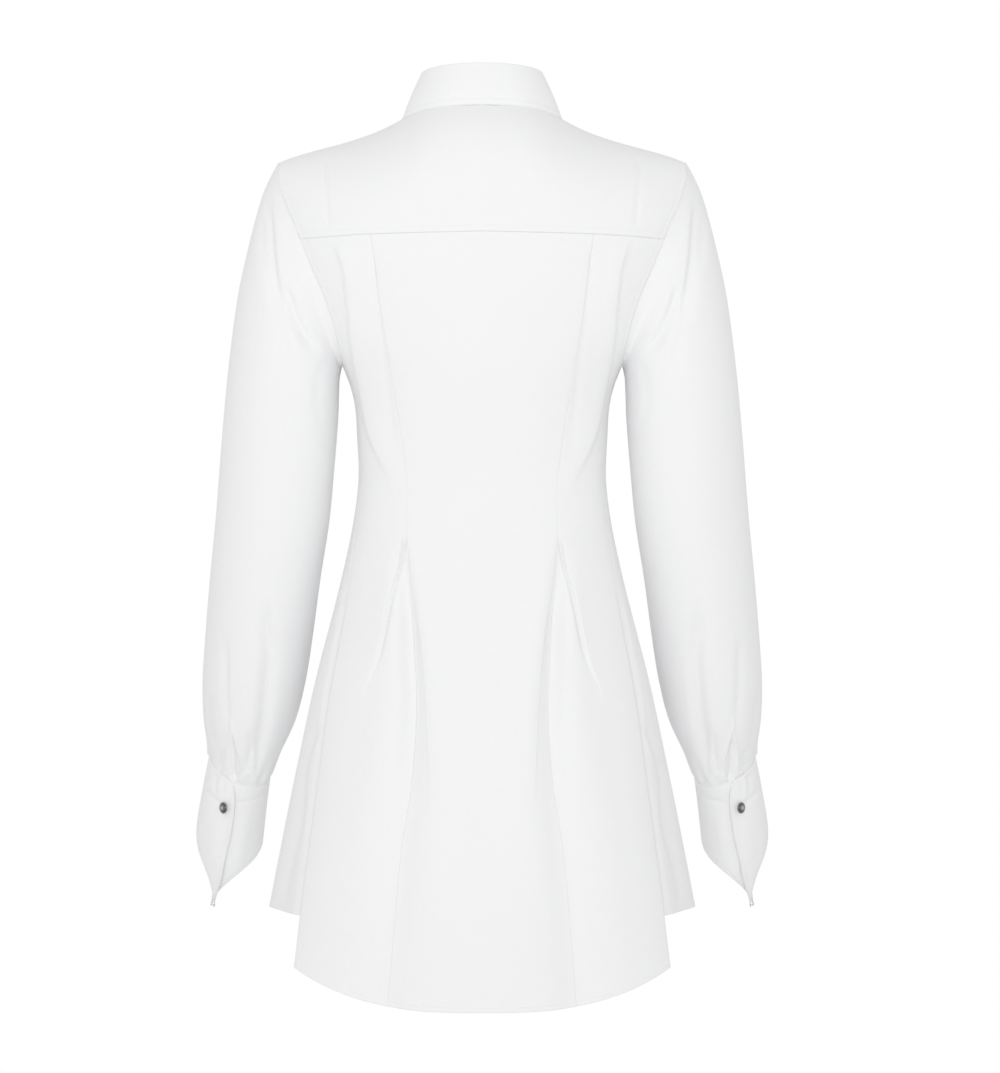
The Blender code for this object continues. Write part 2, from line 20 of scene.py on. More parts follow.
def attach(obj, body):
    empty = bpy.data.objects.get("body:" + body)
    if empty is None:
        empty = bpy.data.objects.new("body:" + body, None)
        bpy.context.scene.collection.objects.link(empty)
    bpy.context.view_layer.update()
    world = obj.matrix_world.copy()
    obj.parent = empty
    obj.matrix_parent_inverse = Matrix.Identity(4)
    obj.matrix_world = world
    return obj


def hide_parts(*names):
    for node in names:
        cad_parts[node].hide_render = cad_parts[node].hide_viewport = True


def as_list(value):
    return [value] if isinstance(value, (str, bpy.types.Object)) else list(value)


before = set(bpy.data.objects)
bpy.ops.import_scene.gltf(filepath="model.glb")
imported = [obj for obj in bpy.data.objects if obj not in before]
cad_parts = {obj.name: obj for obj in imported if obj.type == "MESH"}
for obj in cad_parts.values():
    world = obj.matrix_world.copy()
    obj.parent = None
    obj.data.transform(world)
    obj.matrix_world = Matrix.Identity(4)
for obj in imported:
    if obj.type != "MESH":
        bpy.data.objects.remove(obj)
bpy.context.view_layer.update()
LOG = logging.getLogger("shirt_dress")

MM = 0.001                # the sizes are in millimetres, the meshes in metres
LINK = "root"             # the one body of a dress
Array = np.ndarray
Level = Union[float, Callable[[Array, Array], Array]]


class Edge(Enum):
    """Edges of a cut piece, as it is laid out: across from first to last, up from low to high."""

    FIRST = "first"
    LAST = "last"
    LOW = "low"
    HIGH = "high"


# ---- curves and steps -------------------------------------------------------------------------

class Table:
    """Rows of sizes with named columns, read as smooth curves of the first column."""

    def __init__(self, columns: str, rows: Sequence[Sequence[float]]) -> None:
        """Sort the rows by their first column.

        Args:
            columns: names of the columns, the key first.
            rows: the sizes.
        """
        self.names = columns.split()
        sizes = np.array(rows, dtype=float)
        sizes = sizes[np.argsort(sizes[:, 0])]
        self.keys = sizes[:, 0]
        self.sizes = dict(zip(self.names[1:], sizes[:, 1:].T))

    def at(self, name: str, where: Union[float, Array]) -> Array:
        """Value of one column between the rows.

        Args:
            name: the column.
            where: values of the key.

        Returns:
            The column's values there, held at the ends of the table.
        """
        keys, values = self.keys, self.sizes[name]
        slopes = np.gradient(values, 1.0)
        slopes[1:-1] = (values[2:] - values[:-2]) / (keys[2:] - keys[:-2])
        slopes[0] = (values[1] - values[0]) / (keys[1] - keys[0])
        slopes[-1] = (values[-1] - values[-2]) / (keys[-1] - keys[-2])
        where = np.clip(where, keys[0], keys[-1])
        row = np.clip(np.searchsorted(keys, where, side="right") - 1, 0, len(keys) - 2)
        step = keys[row + 1] - keys[row]
        t = (where - keys[row]) / step
        return (values[row] * (1 + 2 * t) * (1 - t) ** 2 + values[row + 1] * t * t * (3 - 2 * t)
                + step * slopes[row] * t * (1 - t) ** 2 - step * slopes[row + 1] * t * t * (1 - t))


def mix(a: Array, b: Array, t: Array) -> Array:
    """Value between a and b."""
    return a + (b - a) * t


def ease(t: Array) -> Array:
    """Smooth step from 0 to 1."""
    t = np.clip(t, 0.0, 1.0)
    return t * t * (3 - 2 * t)


def power(base: Array, exponent: float) -> Array:
    """Power of a number that rounding may leave just below zero."""
    return np.maximum(base, 0.0) ** exponent


def unit(vectors: Array) -> Array:
    """Vectors of length one."""
    return vectors / np.maximum(np.linalg.norm(vectors, axis=-1, keepdims=True), 1e-9)


def bell(distance: Array, width: float) -> Array:
    """Soft hump of height one."""
    return np.exp(-(distance / width) ** 2)


def spaced(length: float, cell: float, insets: Sequence[float] = (),
           ends: Sequence[Edge] = (Edge.LOW, Edge.HIGH)) -> Array:
    """Shares from 0 to 1, even between the ends and close together near them.

    Args:
        length: size of the cloth along this way.
        cell: size of an even cell.
        insets: distances from the ends where stitching or a hem needs extra lines.
        ends: the ends that the insets are measured from.

    Returns:
        The shares in order.
    """
    shares = np.linspace(0, 1, max(3, round(length / cell)) + 1)
    extra = np.array(sorted({0.0, *insets})) / length
    wanted = []
    if Edge.LOW in ends:
        wanted += list(extra)
    if Edge.HIGH in ends:
        wanted += list(1 - extra)
    gap = 0.55 * cell / length
    kept = [s for s in shares if all(abs(s - w) > gap for w in wanted)]
    return np.array(sorted(set(np.round(kept + wanted + [0.0, 1.0], 9))))


@dataclass(frozen=True)
class Columns:
    """Columns of a panel's grid, gathered at its seams and along the fold lines that cross it.

    counts are the cells between one line and the next; lines give, at a level, the share of the
    panel's width where each fold line runs.
    """

    counts: tuple[int, ...]
    lines: tuple[Callable[[Array], Array], ...] = ()
    near: tuple[float, ...] = (0.0, 0.6, 1.3, 2.2, 3.4)

    def shares(self, z: Array, width: Array) -> Array:
        """Shares of the width, rows by columns.

        Args:
            z: level of each row.
            width: width of each row.

        Returns:
            Shares from 0 to 1 in each row.
        """
        bounds = [np.zeros_like(z)] + [line(z) for line in self.lines] + [np.ones_like(z)]
        found = []
        for index, (low, high, count) in enumerate(zip(bounds, bounds[1:], self.counts)):
            space = (high - low) * width
            tight = np.minimum(1.0, space / (4.4 * self.near[-1]))
            near = np.array(self.near)[None, :] * tight[:, None]
            inner = np.linspace(0, 1, count - 2 * len(self.near) + 3)[None, 1:-1]
            middle = near[:, -1:] + (space[:, None] - 2 * near[:, -1:]) * inner
            run = np.hstack((near, middle, space[:, None] - near[:, ::-1]))
            share = low[:, None] + run / width[:, None]
            found.append(share if index == 0 else share[:, 1:])
        return np.hstack(found)


EDGE_LINES = (0.7, 1.5, 2.6)                      # grid lines where a seam turns in
STITCH_LINES = (0.7, 1.5, 2.6, 4.2, 5.3, 6.0, 6.7, 8.2)   # and where a row of stitches runs


# ---- the dress's form, as in the frame --------------------------------------------------------

TORSO = Table("level side back front", (
    (60, 217, 94, 90), (-42, 215, 96, 94), (-79, 207, 99, 100), (-108, 199, 101, 106),
    (-136, 187, 103, 112), (-168, 172, 103, 118), (-195, 158, 101, 122), (-213, 148, 100, 123),
    (-237, 133.5, 98, 122), (-269, 122.8, 92, 116), (-307, 119.6, 85, 104), (-345, 118.4, 81, 94),
    (-384, 123, 84, 96), (-422, 130.6, 91, 102), (-460, 139.7, 99, 109), (-537, 159.3, 115, 124),
    (-613, 175.1, 131, 137), (-690, 190.4, 145, 148), (-750, 202.2, 155, 155),
    (-860, 221, 166, 166)))
SHOULDER = Table("out back front", (
    (0, 31, 9), (35, 25.5, 8.5), (55, 15.5, 7), (70, 4.2, 4.2), (76, 0.2, 0.2),
    (99, -11.5, -11.5), (124, -20.5, -20.5), (149, -27.5, -27.5), (171, -33.5, -33.5),
    (188, -39.2, -39.2), (195, -42, -42)))
ARMHOLE = Table("level back front", (
    (-42, 195, 195), (-55, 196, 189), (-79, 189.5, 178), (-102, 180, 167), (-136, 166.5, 152),
    (-168, 152.5, 141), (-195, 143.5, 135.5), (-213, 139, 134), (-230, 135, 133.6),
    (-237, 133.5, 133.5)))
BACK_SEAM = Table("level out", (
    (-105, 107), (-183, 97.6), (-252, 86), (-348, 71.8), (-398, 72.7), (-479, 69), (-562, 65),
    (-640, 70), (-700, 79), (-850, 92)))
SIDE_SEAM = Table("level out", (
    (-237, 0), (-345, 8), (-463, 23), (-591, 28), (-761, 34), (-853, 36)))
BACK_YOKE = Table("out level", ((0, -108), (110, -111), (150, -113.5), (180, -116)))
RING = "share out_x out_z in_x in_z deep ahead drop"
SLEEVE = Table(RING, tuple((k / 13, *ring) for k, ring in enumerate((
    (197, -44, 134.3, -237.4, 60, 9, 0), (206, -62, 134.8, -239.5, 60.5, 8, 0),
    (213.5, -83, 135.4, -243, 61.5, 7, 1), (223, -119, 136.5, -250, 63, 6, 2),
    (234, -170, 137, -264, 63.5, 6, 3), (243, -238, 138, -290, 63, 7, 4),
    (249.5, -308, 141.5, -334, 61.5, 12, 6), (255, -378, 146.5, -386, 60, 22, 8),
    (261, -440, 155, -440, 59, 36, 11), (265.5, -494, 162, -492, 58.5, 50, 13),
    (268.3, -538, 169, -536, 57, 62, 14), (267.5, -572, 178.5, -573, 52, 71, 14),
    (264, -597, 193.5, -605, 42, 78, 16), (262, -608.5, 203.5, -628, 34, 82, 18.5)))))
CUFF = Table(RING, tuple((k / 4, *ring) for k, ring in enumerate((
    (262, -609.5, 203.2, -629.5, 34, 82, 18.5), (268.5, -642, 206.5, -655, 35, 91, 13),
    (274.5, -680, 210.5, -692, 36, 101, 9), (273, -715, 214, -726, 34, 109, 6),
    (267.5, -752, 237, -758, 20, 116, 2)))))
CUFF_OPENING = Table("share turn", (   # degrees round the wrist where the cuff is open
    (0, 70.5), (0.11, 78), (0.21, 82.2), (0.35, 83.8), (0.48, 82.8), (0.66, 74.8), (0.83, 70.2),
    (1, 63.5)))
COLLAR_EDGE = Table("turn x y z", (
    (0, 0, 59.5, 13.8), (30, 37, 51.5, 11.2), (60, 60, 32.5, 6.4), (90, 76.5, 2, -1),
    (118, 76, -36, -18),
    (145, 66, -72, -48), (172, 44, -99, -84)))
SIDE_FOLD = Table("level out", (      # drape fold, then the outer edge of the released pleat
    (-114, 143), (-139, 131), (-178, 125.7), (-217, 121.8), (-259, 114), (-299, 106),
    (-322, 97), (-340, 89), (-369, 81), (-396, 75.8), (-427, 80.7), (-448, 86.4), (-475, 92.2),
    (-503, 97.9), (-524, 104), (-545, 113), (-600, 126), (-700, 142), (-850, 160)))
CENTRE_FOLD = Table("level out", (    # inner edge of the released pleat
    (-108, 66), (-250, 66), (-370, 66), (-403, 70.6), (-452, 66.3), (-484, 59.6), (-521, 55.8),
    (-560, 52.9), (-606, 51), (-640, 50.1), (-690, 49.1), (-853, 50)))
STRIP_FOLD = Table("level out", (     # fold of the front beside the side seam
    (-237, 120), (-460, 136), (-560, 148), (-578, 151.5), (-606, 165.8), (-629, 170.6),
    (-675, 173.5), (-709, 182), (-748, 189)))
WAVES = (                 # soft waves of the skirt: degrees round, top, widths, depth at the hem
    (0, -520, 14, 26, 4), (17, -600, 10, 16, -5), (52, -560, 10, 15, 5), (72, -500, 8, 13, -5),
    (93, -470, 8, 14, 2), (112, -500, 8, 13, -6), (134, -440, 7, 12, -9), (158, -540, 8, 14, 4))


@dataclass(frozen=True)
class Crease:
    """One fold: a soft trough or ridge along a path.

    The path runs downwards over distance from the middle and level. depth is below zero for a
    trough; inner and outer are its widths towards the middle and away from it, and a narrow
    width beside a wide one makes the crisp edge of a fold. grow widens it towards its end, and
    the fades are the shares of its length over which it rises and dies away.
    """

    path: tuple[tuple[float, float], ...]
    depth: float
    inner: float
    outer: float
    grow: float = 1.0
    fade_in: float = 0.25
    fade_out: float = 0.35

    def line(self) -> Array:
        """Path as a smooth run of points."""
        knots = np.array(self.path, dtype=float)
        if len(knots) < 3:
            return np.linspace(knots[0], knots[-1], 4)
        steps = np.concatenate(([0], np.cumsum(np.linalg.norm(np.diff(knots, axis=0), axis=1))))
        rows = Table("run x z", np.column_stack((steps, knots)))
        runs = np.linspace(0, steps[-1], 4 * len(knots))
        return np.column_stack((rows.at("x", runs), rows.at("z", runs)))

    def height(self, x: Array, z: Array) -> Array:
        """How far the cloth is pushed out.

        Args:
            x: distances from the middle.
            z: levels.

        Returns:
            The push at each point.
        """
        line = self.line()
        nearest = np.full(x.shape, 1e9)
        signed = np.zeros(x.shape)
        share = np.zeros(x.shape)
        runs = np.concatenate(([0], np.cumsum(np.linalg.norm(np.diff(line, axis=0), axis=1))))
        for (ax, az), (bx, bz), run in zip(line, line[1:], runs):
            dx, dz = bx - ax, bz - az
            length = math.hypot(dx, dz)
            t = np.clip(((x - ax) * dx + (z - az) * dz) / length ** 2, 0, 1)
            off_x, off_z = x - ax - t * dx, z - az - t * dz
            distance = np.hypot(off_x, off_z)
            closer = distance < nearest
            nearest = np.where(closer, distance, nearest)
            side = np.sign(off_z * dx - off_x * dz)
            signed = np.where(closer, distance * side, signed)
            share = np.where(closer, (run + t * length) / runs[-1], share)
        wide = np.where(signed > 0, self.outer, self.inner) * mix(1.0, self.grow, share)
        fade = ease(share / max(self.fade_in, 1e-6)) * ease((1 - share) / max(self.fade_out, 1e-6))
        return self.depth * fade * np.exp(-(nearest / wide) ** 2)


def pushed(creases: Sequence[Crease], x: Array, z: Array) -> Array:
    """Sum of several folds."""
    total = np.zeros(np.shape(x))
    for crease in creases:
        total = total + crease.height(x, z)
    return total


BODICE_BACK = (               # drape fold, the softer one beside it and the yoke's pressed line
    Crease(((141, -114), (131, -139), (125.7, -178), (121.8, -217), (114, -259), (106, -299),
            (97, -322), (89, -340), (81, -369)), 3.6, 12, 4, fade_in=0.08, fade_out=0.25),
    Crease(((104.6, -117), (103, -150), (98.5, -195), (92.7, -234), (86.6, -285), (81, -332)),
           -1.3, 2.5, 5, fade_in=0.1),
    Crease(((151, -36), (149.6, -68), (146.7, -106)), -1.2, 2.2, 2.4, fade_in=0.1, fade_out=0.1),
)
SKIRT_BACK = (                # released pleat: outer edge, its foot, middle, inner edge; side strip
    Crease(((73, -392), (75.8, -398), (80.7, -427), (86.4, -448), (92.2, -475), (97.9, -503),
            (104, -524), (113, -545), (120, -570)), 2.7, 0.9, 18, fade_in=0.1, fade_out=0.45),
    Crease(((73.6, -396), (79.1, -427), (84.8, -448), (90.6, -475), (96.3, -503),
            (102.4, -524), (111, -543)), -3.4, 2.0, 1.0, fade_in=0.06, fade_out=0.35),
    Crease(((74.9, -400), (74, -440), (69.2, -479), (67.3, -525), (65.4, -562), (67.3, -601),
            (69.2, -631), (74, -658), (80.7, -700)), -3.4, 5, 10, fade_in=0.12, fade_out=0.4),
    Crease(((70.6, -400), (66.3, -452), (59.6, -484), (55.8, -521), (52.9, -560), (51, -606),
            (50.1, -640), (49.1, -700)), 1.3, 14, 1.1, fade_in=0.04, fade_out=0.4),
    Crease(((95, -565), (87, -567), (79, -565)), -0.7, 1.8, 1.8),
    Crease(((151.5, -570), (165.8, -606), (170.6, -629), (173.5, -675), (182, -709),
            (190, -752)), -2.6, 2.2, 6, fade_in=0.15, fade_out=0.1),
)
SLEEVE_BACK = (               # from the cap down to the slit above the cuff
    Crease(((204, -70), (204, -95), (202, -124), (198, -155), (193, -181), (191, -210)),
           -4.8, 3.4, 7),
    Crease(((213, -88), (211, -124), (208, -150)), -2.0, 3, 4),
    Crease(((187, -155), (183, -172), (176, -190), (164, -212), (152, -224)), -6.0, 3.0, 8,
           fade_out=0.2),
    Crease(((190, -200), (184, -230), (178, -262)), -2.0, 5, 7),
    Crease(((150, -228), (156, -250), (158, -273), (149, -300)), -1.2, 4, 4),
    Crease(((206, -455), (205, -485), (202.5, -515), (205, -546), (207, -573), (212, -600),
            (215.6, -624)), -6.0, 5, 8, fade_out=0.15),
    Crease(((246, -490), (246, -539), (245, -563), (240, -590)), -2.2, 3.2, 4),
    Crease(((264, -545), (261, -575), (256, -606)), -1.2, 3, 3),
    Crease(((224, -586), (222, -605), (226, -628)), -2.2, 2.6, 4, fade_out=0.1),
    Crease(((213, -604), (214, -618), (217, -630)), -1.6, 2.0, 3, fade_out=0.05),
    Crease(((252, -600), (251, -612), (249, -626)), -1.4, 2.0, 2.6, fade_out=0.05),
    Crease(((239.8, -592), (239.4, -611), (238, -634)), -3.4, 2.6, 2.6, fade_in=0.3, fade_out=0.1),
    Crease(((240.6, -584), (244.6, -610.6), (241, -637)), 1.5, 1.1, 1.3, fade_in=0.08,
           fade_out=0.04),
    Crease(((239.6, -584), (235.2, -603.4), (231.6, -617.8), (235, -636)), 1.6, 1.3, 1.1,
           fade_in=0.08, fade_out=0.04),
    Crease(((241, -572), (240.6, -586)), 1.7, 1.7, 1.7, fade_in=0.2, fade_out=0.2),
)
CUFF_BACK = (                 # puckers round the buttonhole, then the cuff's own bends
    Crease(((254.8, -627), (256.6, -640), (254.5, -652)), -1.5, 2.2, 3.2, fade_in=0.1),
    Crease(((267, -640), (260, -649), (251, -656)), -1.5, 2.4, 3.2, fade_in=0.3, fade_out=0.1),
    Crease(((246, -630), (248.6, -642), (248.4, -652)), -1.1, 2, 3, fade_in=0.05),
    Crease(((236.7, -655.5), (217.5, -651.7), (207, -646)), -0.9, 2.2, 2.2, fade_in=0.1, fade_out=0.1),
    Crease(((263, -668), (267, -700), (262, -735)), -1.2, 6, 8),
    Crease(((226, -660), (232, -700), (243, -735)), 1.6, 7, 6),
)
BODICE_FRONT = (
    Crease(((120, -128), (112, -160), (104, -200), (96, -245), (86, -300), (78, -350)),
           2.2, 9, 6),
    Crease(((140, -60), (126, -96), (112, -130)), -1.6, 6, 6),
    Crease(((118, -250), (106, -290), (94, -330), (84, -372)), -1.8, 6, 8),
    Crease(((52, -86), (60, -130), (66, -180)), -1.0, 8, 6),
)
SKIRT_FRONT = (
    Crease(((76, -400), (84, -440), (90, -490), (97, -540), (103, -600)), 2.2, 3.5, 16,
           fade_in=0.15, fade_out=0.5),
    Crease(((70, -404), (66, -460), (62, -520), (60, -590), (62, -660)), -3.2, 5, 8,
           fade_in=0.15, fade_out=0.4),
    Crease(((118, -440), (124, -500), (134, -560), (146, -640)), -2.0, 9, 8),
)
SLEEVE_FRONT = (
    Crease(((204, -74), (203, -110), (198, -150), (190, -196)), -3.0, 5, 7),
    Crease(((182, -150), (172, -184), (158, -212), (148, -226)), -3.0, 5, 7, fade_out=0.2),
    Crease(((214, -100), (212, -150), (209, -190)), -1.4, 4, 4),
    Crease(((176, -330), (196, -350), (222, -356)), -2.0, 7, 7),
    Crease(((172, -372), (196, -384), (216, -382)), -1.6, 6, 6),
    Crease(((238, -470), (232, -520), (228, -570), (230, -622)), -3.4, 6, 7, fade_out=0.15),
    Crease(((214, -500), (212, -550), (217, -626)), -2.4, 5, 6, fade_out=0.15),
)


@dataclass(frozen=True)
class BodyForm:
    """Outer form of the bodice and skirt."""

    square: float = 2.2          # squareness of the sections (2 is an ellipse)
    round_back: float = 82       # height over which the back curves over to the shoulder line
    round_front: float = 150     # and the front
    neck_half: float = 70        # half width of the neck opening at the shoulder line
    neck_back: float = 58        # how far it reaches back
    neck_front: float = 70       # and forward
    shoulder_tip: float = -42
    underarm: float = -237
    apex: float = -398           # level where the back pleat is released
    pleat_share: float = 0.45    # the soft part of the pleat; its crisp edges are creases

    def side(self, z: Array) -> Array:
        """Half width of a section."""
        return TORSO.at("side", z)

    def reach(self, z: Array, face: Array) -> Array:
        """Depth of a section; face is 1 for the back, -1 for the front."""
        return np.where(face > 0, TORSO.at("back", z), TORSO.at("front", z))

    def crest(self, x: Array, face: Array) -> Array:
        """Level of the shoulder line."""
        return np.where(face > 0, SHOULDER.at("back", np.abs(x)), SHOULDER.at("front", np.abs(x)))

    def height(self, face: Array) -> Array:
        """Height over which the cloth curves over to the shoulder line."""
        return np.where(face > 0, self.round_back, self.round_front)

    def neck_seam(self, x: Array, face: Array) -> tuple[Array, Array]:
        """Depth and level of the neck seam at a distance from the middle."""
        deep = np.where(face > 0, self.neck_back, self.neck_front)
        y = deep * np.sqrt(np.maximum(0.0, 1 - (x / self.neck_half) ** 2))
        z = self.crest(x, face)
        for _ in range(12):
            across = y / self.reach(z, face) / self.narrow(x, z)
            z = self.crest(x, face) - self.height(face) * (1 - np.sqrt(np.maximum(0, 1 - across ** 2)))
        return face * y, z

    def narrow(self, x: Array, z: Array) -> Array:
        """Share of the section's depth that is left at a distance from the middle."""
        return power(1 - (np.abs(x) / self.side(z)) ** self.square, 1 / self.square)

    def round_over(self, x: Array, z: Array, face: Array) -> Array:
        """How much of the full depth is left near the shoulder line."""
        rise = (self.crest(x, face) - z) / self.height(face)
        return np.where(rise >= 1, 1.0, np.sqrt(np.maximum(0, 1 - (1 - np.minimum(rise, 1)) ** 2)))

    def turn_of(self, x: Array, z: Array) -> Array:
        """Degrees from the middle of the back or front at which a section is x wide."""
        return np.degrees(np.arcsin(np.minimum(1, power(np.abs(x) / self.side(z), self.square / 2))))

    def out_at(self, turn: Array, z: Array) -> Array:
        """Distance from the middle at a number of degrees round."""
        s = np.sin(np.radians(turn))
        return np.copysign(self.side(z) * power(np.abs(s), 2 / self.square), s)

    def waves(self, turn: Array, x: Array, z: Array) -> Array:
        """Soft waves of the skirt and the soft part of the released pleats."""
        face = np.where(np.abs(turn) < 90, 1, -1)
        opened = ease((self.apex - z) / 110)
        away = np.abs(x) - BACK_SEAM.at("out", z)
        wide = mix(10, 30, ease((self.apex - z) / 330))
        deep = np.where(face > 0, 17, 8) * opened * mix(1, 0.55, ease((-600 - z) / 250))
        deep = deep * self.pleat_share
        out = -deep * bell(away, 0.5 * wide) + 0.45 * deep * bell(np.abs(away) - 1.3 * wide, 0.8 * wide)
        for middle, top, width, low_width, low_depth in WAVES:
            down = ease((top - z) / 260)
            out = out + low_depth * down * bell(np.abs(turn) - middle, mix(width, low_width, down))
        return out

    def point(self, turn: Array, z: Array, out: Array = 0.0) -> Array:
        """Points of the plain form, moved out along its sections' normals.

        Args:
            turn: degrees round from the middle of the back.
            z: levels.
            out: distance outside the plain form.

        Returns:
            Points, one for each turn and level.
        """
        face = np.where(np.abs(turn) <= 90, 1.0, -1.0)
        x = self.out_at(turn, z)
        flat_y = power(np.abs(np.cos(np.radians(turn))), 2 / self.square)
        y = face * self.reach(z, face) * flat_y * self.round_over(x, z, face)
        side = self.side(z)
        normal = np.stack((np.copysign(power(np.abs(x) / side, self.square - 1) / side, x),
                           face * power(flat_y, self.square - 1) / self.reach(z, face),
                           np.zeros_like(x)), axis=-1)
        push = self.waves(turn, x, z) + out
        return np.stack((x, y, z + 0 * x), axis=-1) + unit(normal) * push[..., None]

    def normal(self, turn: Array, z: Array, step: float = 0.4) -> Array:
        """Directions straight out of the form, the same for two pieces that meet in a seam."""
        along = self.point(turn + step, z) - self.point(turn - step, z)
        up = self.point(turn, z + step) - self.point(turn, z - step)
        return unit(np.cross(along, up)) * -1.0

    def cleared(self, points: Array, gap: float) -> Array:
        """Points, moved out where they lie less than a gap above the cloth."""
        x, y, z = points[..., 0], points[..., 1], points[..., 2]
        face = np.where(y >= 0, 1.0, -1.0)
        height = self.height(face)
        base = self.crest(x, face) - height
        reach = self.reach(z, face) * self.narrow(x, z) + gap
        up = np.maximum(0.0, z - base)
        inside = np.hypot(y / reach, up / (height + gap))
        moved = np.stack((x, y / inside, z + up / inside - up), axis=-1)
        return np.where((inside < 1)[..., None], moved, points)

    def armhole_turn(self, z: Array, face: int) -> Array:
        """Degrees round to the armhole, and below it to the side seam."""
        x = ARMHOLE.at("back" if face > 0 else "front", z)
        turn = self.turn_of(x, z)
        above = turn if face > 0 else 180 - turn
        return np.where(z > self.underarm + 1e-6, above, 90 - SIDE_SEAM.at("out", z))


# ---- cloth -------------------------------------------------------------------------------------

class Cloth:
    """One cut piece while it is shaped: a grid of points with its normals and distances."""

    def __init__(self, points: Array, core: Array) -> None:
        """Take the grid as it is cut and bent.

        Args:
            points: rows by columns of points, rows from low to high.
            core: for each point, a point inside the form.
        """
        self.points = points
        self.core = core
        self.measure()

    def measure(self) -> None:
        """Work out the normals and the distances from the edges again."""
        up = np.gradient(self.points, axis=0)
        along = np.gradient(self.points, axis=1)
        normals = unit(np.cross(along, up))
        facing = np.sum(normals * (self.points - self.core))
        self.flipped = facing < 0
        self.normals = -normals if self.flipped else normals
        step_up = np.linalg.norm(np.diff(self.points, axis=0), axis=-1)
        step_on = np.linalg.norm(np.diff(self.points, axis=1), axis=-1)
        self.up = np.vstack((np.zeros(step_up.shape[1]), np.cumsum(step_up, axis=0)))
        self.on = np.hstack((np.zeros((step_on.shape[0], 1)), np.cumsum(step_on, axis=1)))

    def push(self, height: Array) -> None:
        """Move the cloth out along its normals."""
        self.points = self.points + self.normals * height[..., None]
        self.measure()

    def from_edge(self, edge: Edge) -> Array:
        """Distance of each point from an edge, along its row or column."""
        if edge is Edge.FIRST:
            return self.on
        if edge is Edge.LAST:
            return self.on[:, -1:] - self.on
        if edge is Edge.LOW:
            return self.up
        return self.up[-1:, :] - self.up

    def turn_in(self, *edges: Edge, depth: float = 0.9, width: float = 1.5) -> None:
        """Turn the cloth in where it is sewn to the next piece."""
        height = np.zeros(self.points.shape[:2])
        for edge in edges:
            height = np.minimum(height, -depth * bell(self.from_edge(edge), width))
        self.push(height)

    def ridge(self, edge: Edge, inset: float, height: float, width: float) -> None:
        """Raise or press in a line at a distance from an edge."""
        self.push(height * bell(self.from_edge(edge) - inset, width))

    def hem(self, edge: Edge, width: float, height: float = 0.25) -> None:
        """Turn up a hem: doubled cloth from an edge up to its row of stitches."""
        past = self.from_edge(edge) - width
        self.push(height * (1 - ease((past + 0.8) / 1.6)) - 0.08 * bell(past + 1.2, 0.8))

    def run(self, edge: Edge, inset: float, start: float = 0.0,
            stop: float = 1.0) -> tuple[Array, Array]:
        """Line at a distance from an edge, on the cloth.

        Args:
            edge: edge that it follows.
            inset: its distance from the edge.
            start: share of the edge where it starts.
            stop: and ends.

        Returns:
            Points and normals of the line.
        """
        away, points, normals = self.from_edge(edge), self.points, self.normals
        if edge in (Edge.LOW, Edge.HIGH):
            away = away.T
            points, normals = points.transpose(1, 0, 2), normals.transpose(1, 0, 2)
        first, last = round(start * (len(points) - 1)), round(stop * (len(points) - 1))
        found, facing = [], []
        for row in range(first, last + 1):
            order = np.argsort(away[row])
            reach = away[row][order]
            if reach[-1] < inset:
                continue
            found.append([np.interp(inset, reach, points[row][order, k]) for k in range(3)])
            facing.append([np.interp(inset, reach, normals[row][order, k]) for k in range(3)])
        return np.array(found), unit(np.array(facing))


def mesh_of(name: str, cloth: Cloth, cut_away: Optional[Array] = None,
            joined: bool = False) -> bpy.types.Mesh:
    """Mesh of a cut piece, with its cloth measured out in metres on its UV map.

    Args:
        name: name of the piece.
        cloth: the shaped piece.
        cut_away: cells that are cut out, rows by columns.
        joined: whether its first and last edges are sewn to each other.

    Returns:
        The mesh.
    """
    rows, columns = (n - 1 for n in cloth.points.shape[:2])
    shape = bmesh.new()
    bmesh.ops.create_grid(shape, x_segments=columns, y_segments=rows, size=1)
    if cut_away is not None:
        gone = []
        for face in shape.faces:
            x, y, _ = face.calc_center_median()
            if cut_away[int((y + 1) / 2 * rows), int((x + 1) / 2 * columns)]:
                gone.append(face)
        bmesh.ops.delete(shape, geom=gone, context="FACES")
    if cloth.flipped:
        bmesh.ops.reverse_faces(shape, faces=shape.faces)
    mesh = bpy.data.meshes.new(name)
    shape.to_mesh(mesh)
    shape.free()
    flat = np.empty(len(mesh.vertices) * 3)
    mesh.vertices.foreach_get("co", flat)
    flat = flat.reshape(-1, 3)
    row = np.rint((flat[:, 1] + 1) / 2 * rows).astype(int)
    column = np.rint((flat[:, 0] + 1) / 2 * columns).astype(int)
    mesh.vertices.foreach_set("co", (cloth.points[row, column] * MM).ravel())
    corners = np.empty(len(mesh.loops), dtype=int)
    mesh.loops.foreach_get("vertex_index", corners)
    width, length = cloth.on[:, -1].mean(), cloth.up[-1, :].mean()
    across = cloth.on[row, column] / cloth.on[row, -1] * width
    upward = cloth.up[row, column] / cloth.up[-1, column] * length
    laid = np.column_stack((across, upward))[corners] * MM
    layer = mesh.uv_layers.new(name="cloth")
    layer.data.foreach_set("uv", laid.ravel())
    if joined:
        tube = bmesh.new()
        tube.from_mesh(mesh)
        bmesh.ops.remove_doubles(tube, verts=tube.verts, dist=0.00001)
        tube.to_mesh(mesh)
        tube.free()
    mesh.shade_smooth()
    return mesh


@dataclass(frozen=True)
class Cut:
    """How a piece is cut: width and length of the cloth it needs, and its own area, in metres."""

    width: float
    length: float
    area: float


